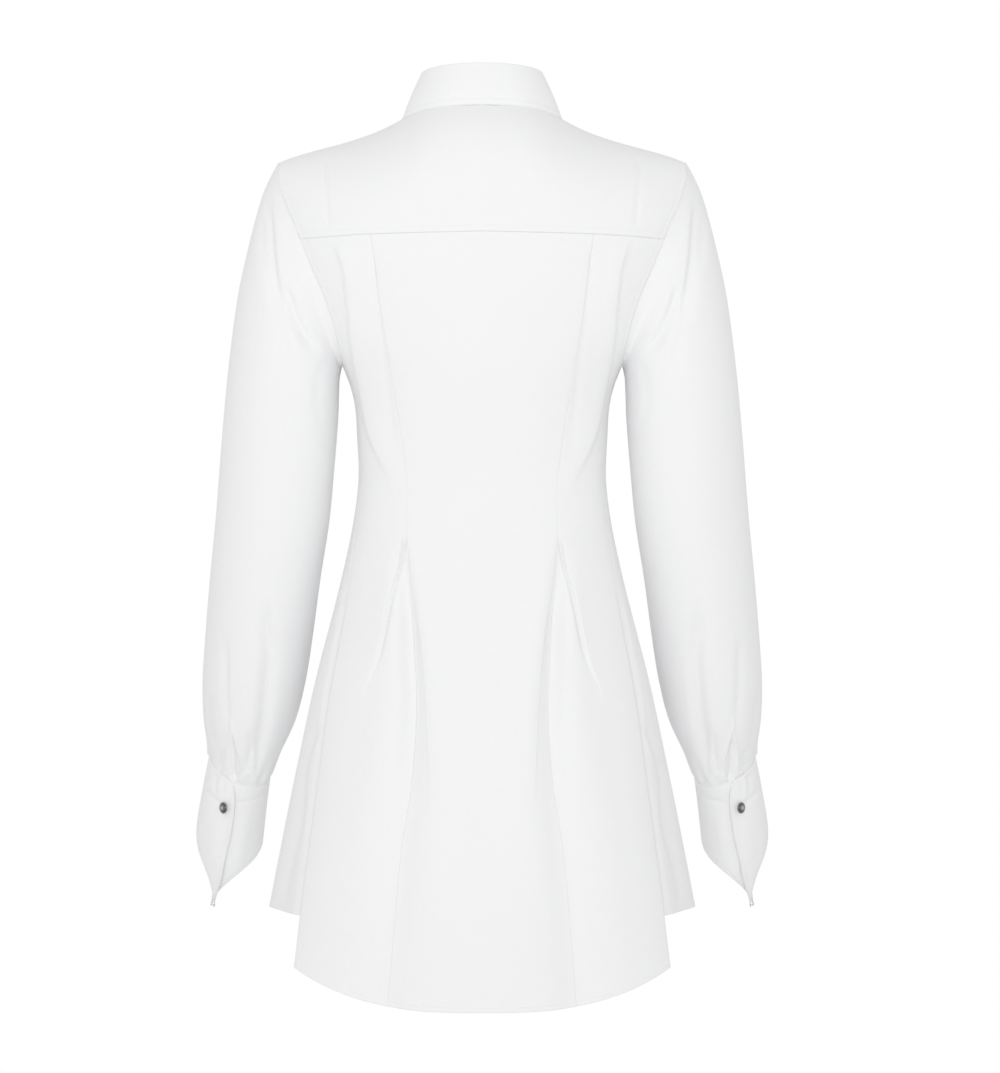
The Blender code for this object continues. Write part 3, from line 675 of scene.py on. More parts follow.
@dataclass
class Sewing:
    """Everything made so far, and how it is hung on the frame."""

    pieces: list[bpy.types.Object] = field(default_factory=list)

    def add(self, name: str, mesh: bpy.types.Mesh, material: bpy.types.Material, slot: str,
            stands_for: str = "") -> bpy.types.Object:
        """Object of a mesh, riding on the dress.

        Args:
            name: the object's name.
            mesh: its mesh, in place.
            material: its finish.
            slot: the record's material slot; not used.
            stands_for: the frame's node that it replaces.

        Returns:
            The object.
        """
        piece = bpy.data.objects.new(name, mesh)
        bpy.context.scene.collection.objects.link(piece)
        mesh.materials.clear()
        mesh.materials.append(material)
        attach(piece, LINK)
        if stands_for:
            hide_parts(stands_for)
        self.pieces.append(piece)
        LOG.info("%s: %d faces", name, len(mesh.polygons))
        return piece

    def sheet(self, node: str, cloth: Cloth, wall: float, material: bpy.types.Material, slot: str,
              held: str, cut_away: Optional[Array] = None, joined: bool = False,
              rests_on: Sequence[str] = ()) -> bpy.types.Object:
        """A cut piece of cloth with its wall.

        Args:
            node: the frame's node that it stands for.
            cloth: the shaped piece.
            wall: thickness of the cloth.
            material: its finish.
            slot: the record's material slot.
            held: how it hangs; not used.
            cut_away: cells that are cut out of the grid.
            joined: whether it is sewn into a tube.
            rests_on: nodes that it lies on; not used.

        Returns:
            The object.
        """
        mesh = mesh_of(node + "_cloth", cloth, cut_away, joined)
        piece = self.add(node + "_cloth", mesh, material, slot, node)
        thick = piece.modifiers.new("wall", "SOLIDIFY")
        thick.thickness = wall * MM
        thick.offset = -1
        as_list(rests_on)
        return piece


@dataclass
class Thread:
    """Rows of stitches, each a bead of thread that lies on the cloth."""

    pitch: float = 2.7       # from one stitch to the next
    length: float = 1.9      # of a stitch
    width: float = 0.6
    height: float = 0.55
    lift: float = 0.02
    rows: list[tuple[Array, Array]] = field(default_factory=list)

    def row(self, line: tuple[Array, Array]) -> None:
        """Add a row along a line of points with normals."""
        self.rows.append(line)

    def beads(self, line: tuple[Array, Array]) -> list[Matrix]:
        """Place of each stitch of a row."""
        points, normals = line
        runs = np.concatenate(([0], np.cumsum(np.linalg.norm(np.diff(points, axis=0), axis=1))))
        count = max(1, int(runs[-1] / self.pitch))
        at = (np.arange(count) + 0.5) * runs[-1] / count
        place = np.column_stack([np.interp(at, runs, points[:, k]) for k in range(3)])
        facing = np.column_stack([np.interp(at, runs, normals[:, k]) for k in range(3)])
        ahead = np.column_stack([np.interp(at + 0.5, runs, points[:, k])
                                 - np.interp(at - 0.5, runs, points[:, k]) for k in range(3)])
        found = []
        for p, n, a in zip(place, unit(facing), unit(ahead)):
            up = Vector(n)
            on = (Vector(a) - up * Vector(a).dot(up)).normalized()
            turn = Matrix((on, up.cross(on), up)).transposed().to_4x4()
            size = Matrix.Diagonal((self.length / 2 * MM, self.width / 2 * MM, self.height / 2 * MM, 1))
            found.append(Matrix.Translation((Vector(p) + up * self.lift) * MM) @ turn @ size)
        return found

    def mesh(self, name: str) -> bpy.types.Mesh:
        """Mesh of all the rows."""
        whole = bmesh.new()
        for line in self.rows:
            part = bmesh.new()
            for place in self.beads(line):
                bmesh.ops.create_icosphere(part, subdivisions=1, radius=1, matrix=place)
            scratch = bpy.data.meshes.new("row")
            part.to_mesh(scratch)
            part.free()
            whole.from_mesh(scratch)
            bpy.data.meshes.remove(scratch)
        mesh = bpy.data.meshes.new(name)
        whole.to_mesh(mesh)
        whole.free()
        mesh.shade_smooth()
        return mesh


# ---- finishes ----------------------------------------------------------------------------------

class Recipe:
    """Shader nodes of one finish, worked up step by step."""

    def __init__(self, name: str, colour: tuple[float, float, float]) -> None:
        """Start a material.

        Args:
            name: its name.
            colour: its plain colour.
        """
        self.material = bpy.data.materials.new(name)
        self.material.use_nodes = True
        self.material.diffuse_color = (*colour, 1)
        self.shader = self.material.node_tree.nodes["Principled BSDF"]

    def node(self, kind: str, **sizes: float) -> bpy.types.Node:
        """Add a node and set its inputs, whose names are written with underscores."""
        return self.set(self.material.node_tree.nodes.new("ShaderNode" + kind), **sizes)

    def set(self, node: bpy.types.Node, **sizes: float) -> bpy.types.Node:
        """Set inputs of a node."""
        for name, size in sizes.items():
            node.inputs[name.replace("_", " ")].default_value = size
        return node

    def join(self, source: bpy.types.NodeSocket, target: bpy.types.NodeSocket) -> None:
        """Link an output to an input."""
        self.material.node_tree.links.new(source, target)

    def noise(self, place: bpy.types.NodeSocket, **sizes: float) -> bpy.types.NodeSocket:
        """Noise over a set of coordinates."""
        noise = self.node("TexNoise", **sizes)
        self.join(place, noise.inputs["Vector"])
        return noise.outputs["Fac"]

    def relief(self, height: bpy.types.NodeSocket, strength: float, deep: float) -> bpy.types.Node:
        """Relief of a pattern, as deep as given in metres."""
        bump = self.node("Bump", Strength=strength, Distance=deep)
        self.join(height, bump.inputs["Height"])
        return bump

    def blend(self, share: bpy.types.NodeSocket, low: Sequence[float], high: Sequence[float]) -> None:
        """Colour the finish between two colours."""
        tint = self.node("Mix")
        tint.data_type = "RGBA"
        tint.inputs[6].default_value = (*low, 1)
        tint.inputs[7].default_value = (*high, 1)
        self.join(share, tint.inputs[0])
        self.join(tint.outputs[2], self.shader.inputs["Base Color"])

    def roughen(self, share: bpy.types.NodeSocket, low: float, high: float) -> None:
        """Vary the roughness between two values."""
        rough = self.node("MapRange", To_Min=low, To_Max=high)
        self.join(share, rough.inputs["Value"])
        self.join(rough.outputs["Result"], self.shader.inputs["Roughness"])


@dataclass(frozen=True)
class CottonFinish:
    """Plain woven cotton: threads both ways, faint slubs, soft crumple and a matt nap."""

    name: str
    colour: tuple[float, float, float] = (0.92, 0.922, 0.927)
    roughness: float = 0.88
    thread: float = 0.00055      # from one thread to the next
    weave: float = 0.10          # strength of the weave's relief
    crumple: float = 0.10        # strength of the crumple's
    nap: float = 0.12
    slub_shade: float = 0.98     # shade of the cloth between its slubs

    def material(self) -> bpy.types.Material:
        """Build the finish."""
        recipe = Recipe(self.name, self.colour)
        recipe.set(recipe.shader, Sheen_Weight=self.nap, Sheen_Roughness=0.5,
                   Specular_IOR_Level=0.22)
        place = recipe.node("UVMap")
        place.uv_map = "cloth"
        solid = recipe.node("TexCoord")
        woven = recipe.node("Math")
        woven.operation = "MULTIPLY"
        for way, socket in zip("XY", woven.inputs):
            wave = recipe.node("TexWave", Scale=math.pi / 10 / self.thread, Distortion=0.6,
                               Detail=1.0, Detail_Scale=0.4)
            wave.bands_direction = way
            wave.wave_profile = "SIN"
            recipe.join(place.outputs["UV"], wave.inputs["Vector"])
            recipe.join(wave.outputs["Fac"], socket)
        stretch = recipe.node("Mapping", Scale=(1.0, 0.12, 1.0))
        recipe.join(place.outputs["UV"], stretch.inputs["Vector"])
        slub = recipe.noise(stretch.outputs["Vector"], Scale=900, Detail=2)
        soft = recipe.noise(solid.outputs["Object"], Scale=62, Detail=4, Roughness=0.62)
        crumpled = recipe.relief(soft, self.crumple, 0.004)
        fine = recipe.relief(woven.outputs["Value"], self.weave, 0.0003)
        recipe.join(crumpled.outputs["Normal"], fine.inputs["Normal"])
        recipe.join(fine.outputs["Normal"], recipe.shader.inputs["Normal"])
        recipe.blend(slub, [c * self.slub_shade for c in self.colour], self.colour)
        recipe.roughen(soft, self.roughness - 0.06, self.roughness + 0.06)
        return recipe.material


@dataclass(frozen=True)
class MetalFinish:
    """Dark plated metal, with a painted highlight on its crown and rim."""

    name: str
    colour: tuple[float, float, float] = (0.085, 0.088, 0.094)
    # colour of the painted highlight
    highlight_colour: tuple[float, float, float] = (0.52, 0.52, 0.53)
    roughness: float = 0.24
    patches: float = 0.16        # how much random noise adds to the painted highlight

    def material(self) -> bpy.types.Material:
        """Build the finish."""
        recipe = Recipe(self.name, self.colour)
        recipe.set(recipe.shader, Metallic=1.0)
        solid = recipe.node("TexCoord")
        wear = recipe.noise(solid.outputs["Object"], Scale=420, Detail=4)
        # painted highlight: the mesh's crown and rim marks blend the dark metal towards the highlight
        # colour
        painted_highlight = recipe.node("Attribute")
        painted_highlight.attribute_name = "painted_highlight"
        highlight_and_noise = recipe.node("Math")
        highlight_and_noise.operation = "MULTIPLY_ADD"
        highlight_and_noise.use_clamp = True
        highlight_and_noise.inputs[1].default_value = self.patches
        recipe.join(wear, highlight_and_noise.inputs[0])
        recipe.join(painted_highlight.outputs["Fac"], highlight_and_noise.inputs[2])
        recipe.blend(highlight_and_noise.outputs["Value"], self.colour, self.highlight_colour)
        recipe.roughen(wear, self.roughness - 0.08, self.roughness + 0.10)
        worn = recipe.relief(wear, 0.08, 0.0001)
        recipe.join(worn.outputs["Normal"], recipe.shader.inputs["Normal"])
        return recipe.material


@dataclass
class Finishes:
    """The dress's materials."""

    cotton: bpy.types.Material
    doubled: bpy.types.Material
    thread: bpy.types.Material
    metal: bpy.types.Material


# ---- bodice and skirt --------------------------------------------------------------------------

@dataclass
class BodyPanels:
    """Backs, fronts and button band, from hem to yoke."""

    sewing: Sewing
    finishes: Finishes
    form: BodyForm = field(default_factory=BodyForm)
    wall: float = 0.7
    fine: float = 2.1            # cell of the back panels
    coarse: float = 3.4          # cell of the fronts
    band_cell: float = 2.6
    back_zones: tuple[float, float, float] = (85, 524, 126)   # rough heights, for the grids
    front_zones: tuple[float, float] = (525, 200)
    band_zones: tuple[float, float] = (525, 205)
    hem_front: float = -764      # front hem at the middle
    hem_side: float = -753       # front hem where the skirt is widest
    hem_seam: float = -761       # front hem at the side seam, where the tail starts
    tail_corner: float = -810
    tail_middle: float = -853
    tail_half: float = 177
    yoke_turn: float = 30        # degrees round the neck to the front end of the yoke
    yoke_drop: float = 16        # the yoke's front seam below the shoulder line at the armhole
    band_half: float = 15
    hem_width: float = 6.0
    lap: float = 1.3             # degrees that a front's edge passes under the back's, in the skirt
    lap_depth: float = 3.2       # and how far below it lies
    thread: Thread = field(default_factory=Thread)

    def seam_turn(self, z: Array) -> Array:
        """Degrees round to the back shaping seam."""
        return self.form.turn_of(BACK_SEAM.at("out", z), z)

    def tail_hem(self, turn: Array, z: Array) -> Array:
        """Curved hem of the back tail."""
        out = np.minimum(1.0, np.abs(self.form.out_at(turn, z)) / self.tail_half)
        return self.tail_middle + (self.tail_corner - self.tail_middle) * out ** 3

    def front_hem(self, turn: Array, z: Array) -> Array:
        """Front hem: highest where the skirt is widest."""
        turn = np.abs(turn)
        seam = float(SIDE_SEAM.at("out", self.hem_seam))
        near = mix(self.hem_seam, self.hem_side, np.clip((turn - 90 + seam) / seam, 0, 1))
        far = mix(self.hem_side, self.hem_front, ease((turn - 90) / 90))
        return np.where(turn > 90, far, near)

    def back_top(self, turn: Array, z: Array) -> Array:
        """Top edge of a back panel, at the yoke's seam."""
        return BACK_YOKE.at("level", np.abs(self.form.out_at(turn, z)))

    def front_top(self, turn: Array, z: Array) -> Array:
        """Top edge of a front: the neck seam, then the yoke's front seam."""
        form = self.form
        inner = form.neck_half * math.cos(math.radians(self.yoke_turn))
        x = np.abs(form.out_at(turn, z))
        face = -np.ones_like(x)
        start = form.crest(inner, -1.0) - form.neck_seam(np.array(inner), np.array(-1.0))[1]
        out = np.clip((x - inner) / (195 - inner), 0, 1)
        seam = form.crest(x, face) - mix(np.sqrt(start), math.sqrt(self.yoke_drop), out) ** 2
        neck = form.neck_seam(np.minimum(x, inner), face)[1]
        return np.where(x <= inner, neck, seam)

    def panel(self, first: Callable[[Array], Array], last: Callable[[Array], Array],
              ends: Sequence[Level], shares: Sequence[Array], columns: Columns,
              out: float = 0.0) -> Cloth:
        """A piece between two seams, given as degrees round at a level.

        Args:
            first: its first seam.
            last: its last seam.
            ends: its edges and the levels between them, from the bottom up.
            shares: for each zone between two ends, the rows of its grid.
            columns: the columns of its grid.
            out: how far outside the form it lies.

        Returns:
            The piece, with the folds of the form it lies on.
        """
        levels = np.concatenate([
            mix(self.middle_level(low), self.middle_level(high), share[0 if index == 0 else 1:])
            for index, (low, high, share) in enumerate(zip(ends, ends[1:], shares))])
        degrees = np.abs(last(levels) - first(levels))
        width = np.radians(degrees) * self.form.side(levels) * 0.95
        across = columns.shares(levels, width)
        rows = []
        row = 0
        for low, high, share in zip(ends, ends[1:], shares):
            for t in share[0 if not rows else 1:]:
                u = across[row]
                edges = [self.level_on(edge, first, last, u) for edge in (low, high)]
                rows.append(mix(edges[0], edges[1], t))
                row += 1
        z = np.array(rows)
        turn = mix(first(z), last(z), across)
        points = self.form.point(turn, z, np.full(z.shape, out))
        core = np.stack((points[..., 0] * 0.3, 0 * z, np.where(z > -60, z - 60, z)), axis=-1)
        x = np.abs(points[..., 0])
        back = pushed(BODICE_BACK + SKIRT_BACK, x, z)
        front = pushed(BODICE_FRONT + SKIRT_FRONT, x, z)
        share = ease((np.abs(turn) - 84) / 12)
        height = mix(back, front, share)
        return Cloth(points + self.form.normal(turn, z) * height[..., None], core)

    def middle_level(self, edge: Level) -> float:
        """Rough level of an edge, for laying out a grid."""
        if not callable(edge):
            return float(edge)
        return float(edge(np.array(90.0), np.array(self.form.underarm)))

    def level_on(self, edge: Level, first: Callable[[Array], Array],
                 last: Callable[[Array], Array], across: Array) -> Array:
        """Level of an edge at shares of a panel's width."""
        if not callable(edge):
            return np.full(across.shape, float(edge))
        z = np.full(across.shape, self.form.underarm)
        for _ in range(10):
            z = edge(mix(first(z), last(z), across), z)
        return z

    def share_of(self, line: Table, first: Callable[[Array], Array],
                 last: Callable[[Array], Array]) -> Callable[[Array], Array]:
        """Share of a panel's width at which a fold line runs, by level."""

        def share(z: Array) -> Array:
            turn = self.form.turn_of(line.at("out", z), z)
            return np.clip((turn - first(z)) / (last(z) - first(z)), 0.03, 0.97)

        return share

    def backs(self) -> None:
        """Back centre and the two back sides."""
        form, top, hem = self.form, self.back_top, self.tail_hem
        ends = (hem, self.hem_seam, form.underarm, top)
        tail, skirt, bodice = self.back_zones
        zones = (spaced(tail, self.fine, STITCH_LINES, (Edge.LOW,)), spaced(skirt, self.fine),
                 spaced(bodice, self.fine, EDGE_LINES, (Edge.HIGH,)))
        right = self.share_of(CENTRE_FOLD, lambda z: -self.seam_turn(z), self.seam_turn)
        centre = self.panel(lambda z: -self.seam_turn(z), self.seam_turn, ends, zones,
                            Columns((17, 62, 17), (lambda z: 1 - right(z), right)))
        self.sew_in(centre, Edge.FIRST, Edge.LAST)
        centre.turn_in(Edge.HIGH, depth=0.12, width=1.0)
        centre.hem(Edge.LOW, self.hem_width)
        self.thread.row(centre.run(Edge.LOW, self.hem_width - 1.2))
        self.sewing.sheet("back_centre", centre, self.wall, self.finishes.cotton, "cotton", "hung")
        for name, side in (("left", 1), ("right", -1)):
            line = self.share_of(SIDE_FOLD, self.seam_turn, lambda z: form.armhole_turn(z, 1))
            piece = self.panel(lambda z, s=side: s * self.seam_turn(z),
                               lambda z, s=side: s * form.armhole_turn(z, 1), ends, zones,
                               Columns((24, 34), (line,)))
            self.sew_in(piece, Edge.FIRST)
            piece.turn_in(Edge.HIGH, depth=0.12, width=1.0)
            piece.turn_in(Edge.LAST, depth=0.7, width=1.2)
            above = ease((piece.points[..., 2] - self.form.underarm) / 10)
            piece.push(-0.35 * bell(piece.from_edge(Edge.LAST) - 7.0, 0.9) * above)
            piece.hem(Edge.LOW, self.hem_width)
            self.thread.row(piece.run(Edge.LOW, self.hem_width - 1.2))
            self.thread.row(self.beside_armhole(piece))
            self.sewing.sheet("back_side_" + name, piece, self.wall, self.finishes.cotton,
                              "cotton", "hung")

    def sew_in(self, piece: Cloth, *edges: Edge) -> None:
        """Turn a shaping seam in; below its pleat the cloth runs on without a groove."""
        share = 1 - ease((self.form.apex + 10 - piece.points[..., 2]) / 30)
        for edge in edges:
            piece.push(-0.22 * bell(piece.from_edge(edge), 1.0) * share)

    def beside_armhole(self, piece: Cloth) -> tuple[Array, Array]:
        """Row of stitches beside the armhole, above the underarm point."""
        points, normals = piece.run(Edge.LAST, 7.0)
        above = points[:, 2] > self.form.underarm + 4
        return points[above], normals[above]

    def fronts(self) -> None:
        """The two fronts."""
        form = self.form
        ends = (self.front_hem, form.underarm, self.front_top)
        skirt, bodice = self.front_zones
        zones = (spaced(skirt, self.coarse, STITCH_LINES, (Edge.LOW,)),
                 spaced(bodice, self.coarse, EDGE_LINES, (Edge.HIGH,)))
        for name, side in (("left", 1), ("right", -1)):
            piece = self.panel(lambda z, s=side: 180.0 * s + 0 * z,
                               lambda z, s=side: s * self.lapped_turn(z), ends, zones,
                               Columns((74, 14), (self.strip_share,)))
            down = ease((-420 - piece.points[..., 2]) / 80)
            under = 1 - ease((piece.from_edge(Edge.LAST) - 3) / 14)
            piece.push(-self.lap_depth * down * under)
            piece.turn_in(Edge.LAST, Edge.HIGH, depth=0.5, width=1.0)
            piece.hem(Edge.LOW, self.hem_width)
            self.thread.row(piece.run(Edge.LOW, self.hem_width - 1.2))
            self.thread.row(self.beside_armhole(piece))
            self.sewing.sheet("front_" + name, piece, self.wall, self.finishes.cotton,
                              "cotton", "hung")

    def lapped_turn(self, z: Array) -> Array:
        """Degrees round to a front's last edge; in the skirt it passes under the back."""
        return self.form.armhole_turn(z, -1) - self.lap * ease((-430 - z) / 60)

    def strip_share(self, z: Array) -> Array:
        """Share of a front's width at which the fold beside its side seam runs."""
        turn = self.form.turn_of(STRIP_FOLD.at("out", z), z)
        return np.clip((180 - turn) / (180 - self.lapped_turn(z)), 0.6, 0.93)

    def band(self) -> None:
        """Button band over the middle of the fronts."""
        form = self.form
        edges = [lambda z, s=s: 180 - s * form.turn_of(np.full(np.shape(z), self.band_half), z)
                 for s in (1, -1)]
        ends = (self.front_hem, form.underarm, self.front_top)
        skirt, bodice = self.band_zones
        zones = (spaced(skirt, self.band_cell, STITCH_LINES, (Edge.LOW,)),
                 spaced(bodice, self.band_cell, EDGE_LINES, (Edge.HIGH,)))
        piece = self.panel(edges[0], edges[1], ends, zones,
                           Columns((20,), near=(0.0, 0.6, 1.2, 2.2, 3.4, 4.0, 4.6)), out=1.6)
        piece.turn_in(Edge.FIRST, Edge.LAST, Edge.HIGH, depth=0.7, width=1.0)
        piece.hem(Edge.LOW, self.hem_width)
        for edge in (Edge.FIRST, Edge.LAST):
            piece.ridge(edge, 4.0, -0.2, 0.8)
            self.thread.row(piece.run(edge, 4.0))
        self.sewing.sheet("button_band", piece, 1.0, self.finishes.doubled, "cotton_doubled",
                          "hung", rests_on=("front_left", "front_right"))

    def build(self) -> None:
        """Make the body's pieces and their stitching."""
        self.backs()
        self.fronts()
        self.band()
        self.sewing.add("body_stitches", self.thread.mesh("body_stitches"), self.finishes.thread,
                        "cotton")


@dataclass
class Yoke:
    """Yoke over the back and both shoulders, cut out round the neck."""

    sewing: Sewing
    finishes: Finishes
    form: BodyForm = field(default_factory=BodyForm)
    wall: float = 0.8
    turn: float = 30
    drop: float = 16
    thread: Thread = field(default_factory=Thread)

    def layout(self) -> tuple[Array, Array]:
        """Grid of the yoke and the cells of its neck.

        Returns:
            Points and the cells that are cut away.
        """
        inner = np.linspace(0, 1, 41)
        outer = spaced(128, 2.2, STITCH_LINES, (Edge.HIGH,))
        neck = np.concatenate((np.sin(np.radians(90 * inner)), np.ones(len(outer) - 1)))
        out = np.concatenate((np.zeros(len(inner)), outer[1:]))
        neck, out = (np.concatenate((values[:0:-1], values)) for values in (neck, out))
        side = np.concatenate((-np.ones(len(neck) // 2), np.ones(len(neck) // 2 + 1)))
        back = spaced(112, 2.2, STITCH_LINES, (Edge.LOW,))
        ahead = spaced(26, 2.4, EDGE_LINES, (Edge.HIGH,))[1:]
        rows = []
        for share in back:
            rows.append(self.row(side, neck, out, share, 0.0, 1.0))
        for share in ahead:
            rows.append(self.row(side, neck, out, 1.0, share, -1.0))
        points = np.array(rows)
        gone = np.zeros((len(points) - 1, points.shape[1] - 1), dtype=bool)
        middle = np.arange(points.shape[1] - 1) - (points.shape[1] - 1) / 2 + 0.5
        gone[len(back) - 1:, :] = np.abs(middle) < len(inner) - 1
        return points, gone

    def row(self, side: Array, neck: Array, out: Array, up: float, ahead: float,
            face: float) -> Array:
        """One row of the yoke's grid."""
        form = self.form
        neck_x = form.neck_half * neck * math.cos(math.radians(self.turn * ahead))
        x = neck_x.copy()
        facing = np.full(x.shape, face)
        edge_z = form.neck_seam(neck_x, facing)[1]
        at_neck = np.sqrt(np.maximum(0, form.crest(neck_x, facing) - edge_z))
        for _ in range(14):
            level = form.crest(x, facing)
            if face > 0:
                low = np.sqrt(level - BACK_YOKE.at("level", x))
                high = np.where(out > 0, 0.0, at_neck)
                fall = mix(low, high, up)
            else:
                fall = mix(at_neck, math.sqrt(self.drop) * ahead, out)
            z = level - fall ** 2
            arm = ARMHOLE.at("back" if face > 0 else "front", z)
            x = np.where(out > 0, neck_x + (arm - neck_x) * out, neck_x)
        y = face * form.reach(z, facing) * form.round_over(x, z, facing) * form.narrow(x, z)
        return np.stack((side * x, y, z), axis=-1)

    def build(self) -> None:
        """Make the yoke and its stitching."""
        points, gone = self.layout()
        z = points[..., 2]
        core = np.stack((points[..., 0] * 0.3, 0 * z, np.where(z > -60, z - 60, z)), axis=-1)
        cloth = Cloth(points, core)
        back = ease(points[..., 1] / 20)
        cloth.push(pushed(BODICE_BACK, np.abs(points[..., 0]), z) * back)
        cloth.push(0.45 * (1 - ease((cloth.from_edge(Edge.LOW) - 6) / 1.2)))
        cloth.turn_in(Edge.FIRST, Edge.LAST, Edge.HIGH, depth=0.7)
        cloth.turn_in(Edge.LOW, depth=0.4, width=1.0)
        for edge in (Edge.FIRST, Edge.LAST):
            cloth.ridge(edge, 7.0, -0.35, 0.9)
            self.thread.row(cloth.run(edge, 7.0, 0.0, 0.8))
        self.thread.row(cloth.run(Edge.LOW, 5.6))
        self.sewing.sheet("yoke", cloth, self.wall, self.finishes.cotton, "cotton", "hung",
                          cut_away=gone)
        self.sewing.add("yoke_stitches", self.thread.mesh("yoke_stitches"), self.finishes.thread,
                        "cotton")


# ---- collar ------------------------------------------------------------------------------------

@dataclass
class Collar:
    """Stand from the neck seam up, and the fall that turns over it."""

    sewing: Sewing
    finishes: Finishes
    form: BodyForm = field(default_factory=BodyForm)
    stand_length: float = 430    # rough sizes, for the grids
    stand_height: float = 42
    fall_length: float = 500
    fall_height: float = 46
    stand_end: float = 191       # degrees round to the stand's ends, which overlap in front
    lift_from: float = 170       # where the upper end starts to lift over the lower
    lift: float = 2.0
    fall_end: float = 169        # degrees round to the fall's ends
    fall_space: float = 1.0      # between stand and fall at the fold
    bow: float = 1.2             # how far the fall bows out
    clear: float = 1.3           # its space over the yoke
    fold_half: float = 56        # half width, reach back and forward of the fold
    fold_back: float = 50
    fold_front: float = 58
    fold_level: float = 42       # level of the fold at the sides
    fold_rise: float = 11        # its rise to the back and drop to the front
    fold_drop: float = 54
    topstitch: float = 6.0       # row of stitches from the fall's edge
    thread: Thread = field(default_factory=Thread)

    def neck_ring(self, turn: Array) -> Array:
        """Points of the neck seam."""
        face = np.where(np.abs(turn) <= 90, 1.0, -1.0)
        x = self.form.neck_half * np.sin(np.radians(turn))
        y, z = self.form.neck_seam(x, face)
        return np.stack((x, y, z), axis=-1)

    def fold_ring(self, turn: Array, out: float = 0.0) -> Array:
        """Points of the ring where the collar folds over."""
        s, c = np.sin(np.radians(turn)), np.cos(np.radians(turn))
        reach = np.where(c >= 0, self.fold_back, self.fold_front) + out
        z = np.where(c >= 0, self.fold_level + self.fold_rise * c,
                     self.fold_level - self.fold_drop * (1 - np.abs(s)))
        return np.stack(((self.fold_half + out) * s, reach * c, z), axis=-1)

    def stand_point(self, turn: Array, up: Array, out: float = 0.0) -> Array:
        """Points of the stand; past 180 degrees its ends cross, the wearer's right on top."""
        low, high = self.neck_ring(turn), self.fold_ring(turn)
        lift = self.lift * ease((-turn - self.lift_from) / (180 - self.lift_from))
        outward = unit(high * (1, 1, 0))
        up = np.broadcast_to(up, np.shape(turn))[..., None]
        point = mix(low, high, up) + outward * (lift[..., None] + out)
        return point - outward * self.lift * (1 - up) + np.array((0, 0, 1.0)) * (1 - up)

    def fall_point(self, turn: Array, down: Array) -> Array:
        """Points of the fall, from the fold down to its edge."""
        side = np.where(turn < 0, -1.0, 1.0)
        share = np.abs(turn) / self.fall_end * 172
        edge = np.stack([COLLAR_EDGE.at(name, share) for name in "xyz"], axis=-1)
        edge[..., 0] *= side
        top = self.fold_ring(turn, 1.5 + self.fall_space) + np.array((0, 0, 0.5))
        point = mix(top, edge, down[..., None])
        bow = self.bow * np.sin(np.pi * down)
        point = point + unit(edge * (1, 1, 0)) * bow[..., None]
        return self.form.cleared(point, self.clear)

    def build(self) -> None:
        """Make stand, fall and their stitching."""
        turns = mix(-self.stand_end, self.stand_end, spaced(self.stand_length, 2.4, EDGE_LINES))
        ups = spaced(self.stand_height, 2.2, EDGE_LINES)
        turn, up = np.meshgrid(turns, ups)
        points = self.stand_point(turn, up)
        core = points * (0, 0, 1) + np.array((0, -4.0, 0))
        stand = Cloth(points, core)
        stand.turn_in(Edge.LOW, Edge.FIRST, Edge.LAST, depth=0.6)
        self.sewing.sheet("collar_stand", stand, 1.2, self.finishes.doubled, "cotton_doubled",
                          "hung")
        turns = mix(-self.fall_end, self.fall_end, spaced(self.fall_length, 2.0, STITCH_LINES))
        downs = 1 - spaced(self.fall_height, 1.5, STITCH_LINES)
        turn, down = np.meshgrid(turns, downs)
        points = self.fall_point(turn, down)
        core = points * (0, 0, 1) + np.array((0, -4.0, 0))
        fall = Cloth(points, core)
        fall.turn_in(Edge.LOW, Edge.FIRST, Edge.LAST, depth=0.7, width=0.9)
        for edge in (Edge.LOW, Edge.FIRST, Edge.LAST):
            fall.ridge(edge, self.topstitch, -0.4, 0.8)
        self.thread.row(fall.run(Edge.LOW, self.topstitch, 0.02, 0.98))
        self.thread.row(fall.run(Edge.FIRST, self.topstitch, 0.14, 1.0))
        self.thread.row(fall.run(Edge.LAST, self.topstitch, 0.14, 1.0))
        self.sewing.sheet("collar", fall, 1.2, self.finishes.doubled, "cotton_doubled", "folded",
                          rests_on=("yoke",))
        self.sewing.add("collar_stitches", self.thread.mesh("collar_stitches"),
                        self.finishes.thread, "cotton_doubled")


# ---- sleeves and cuffs -------------------------------------------------------------------------

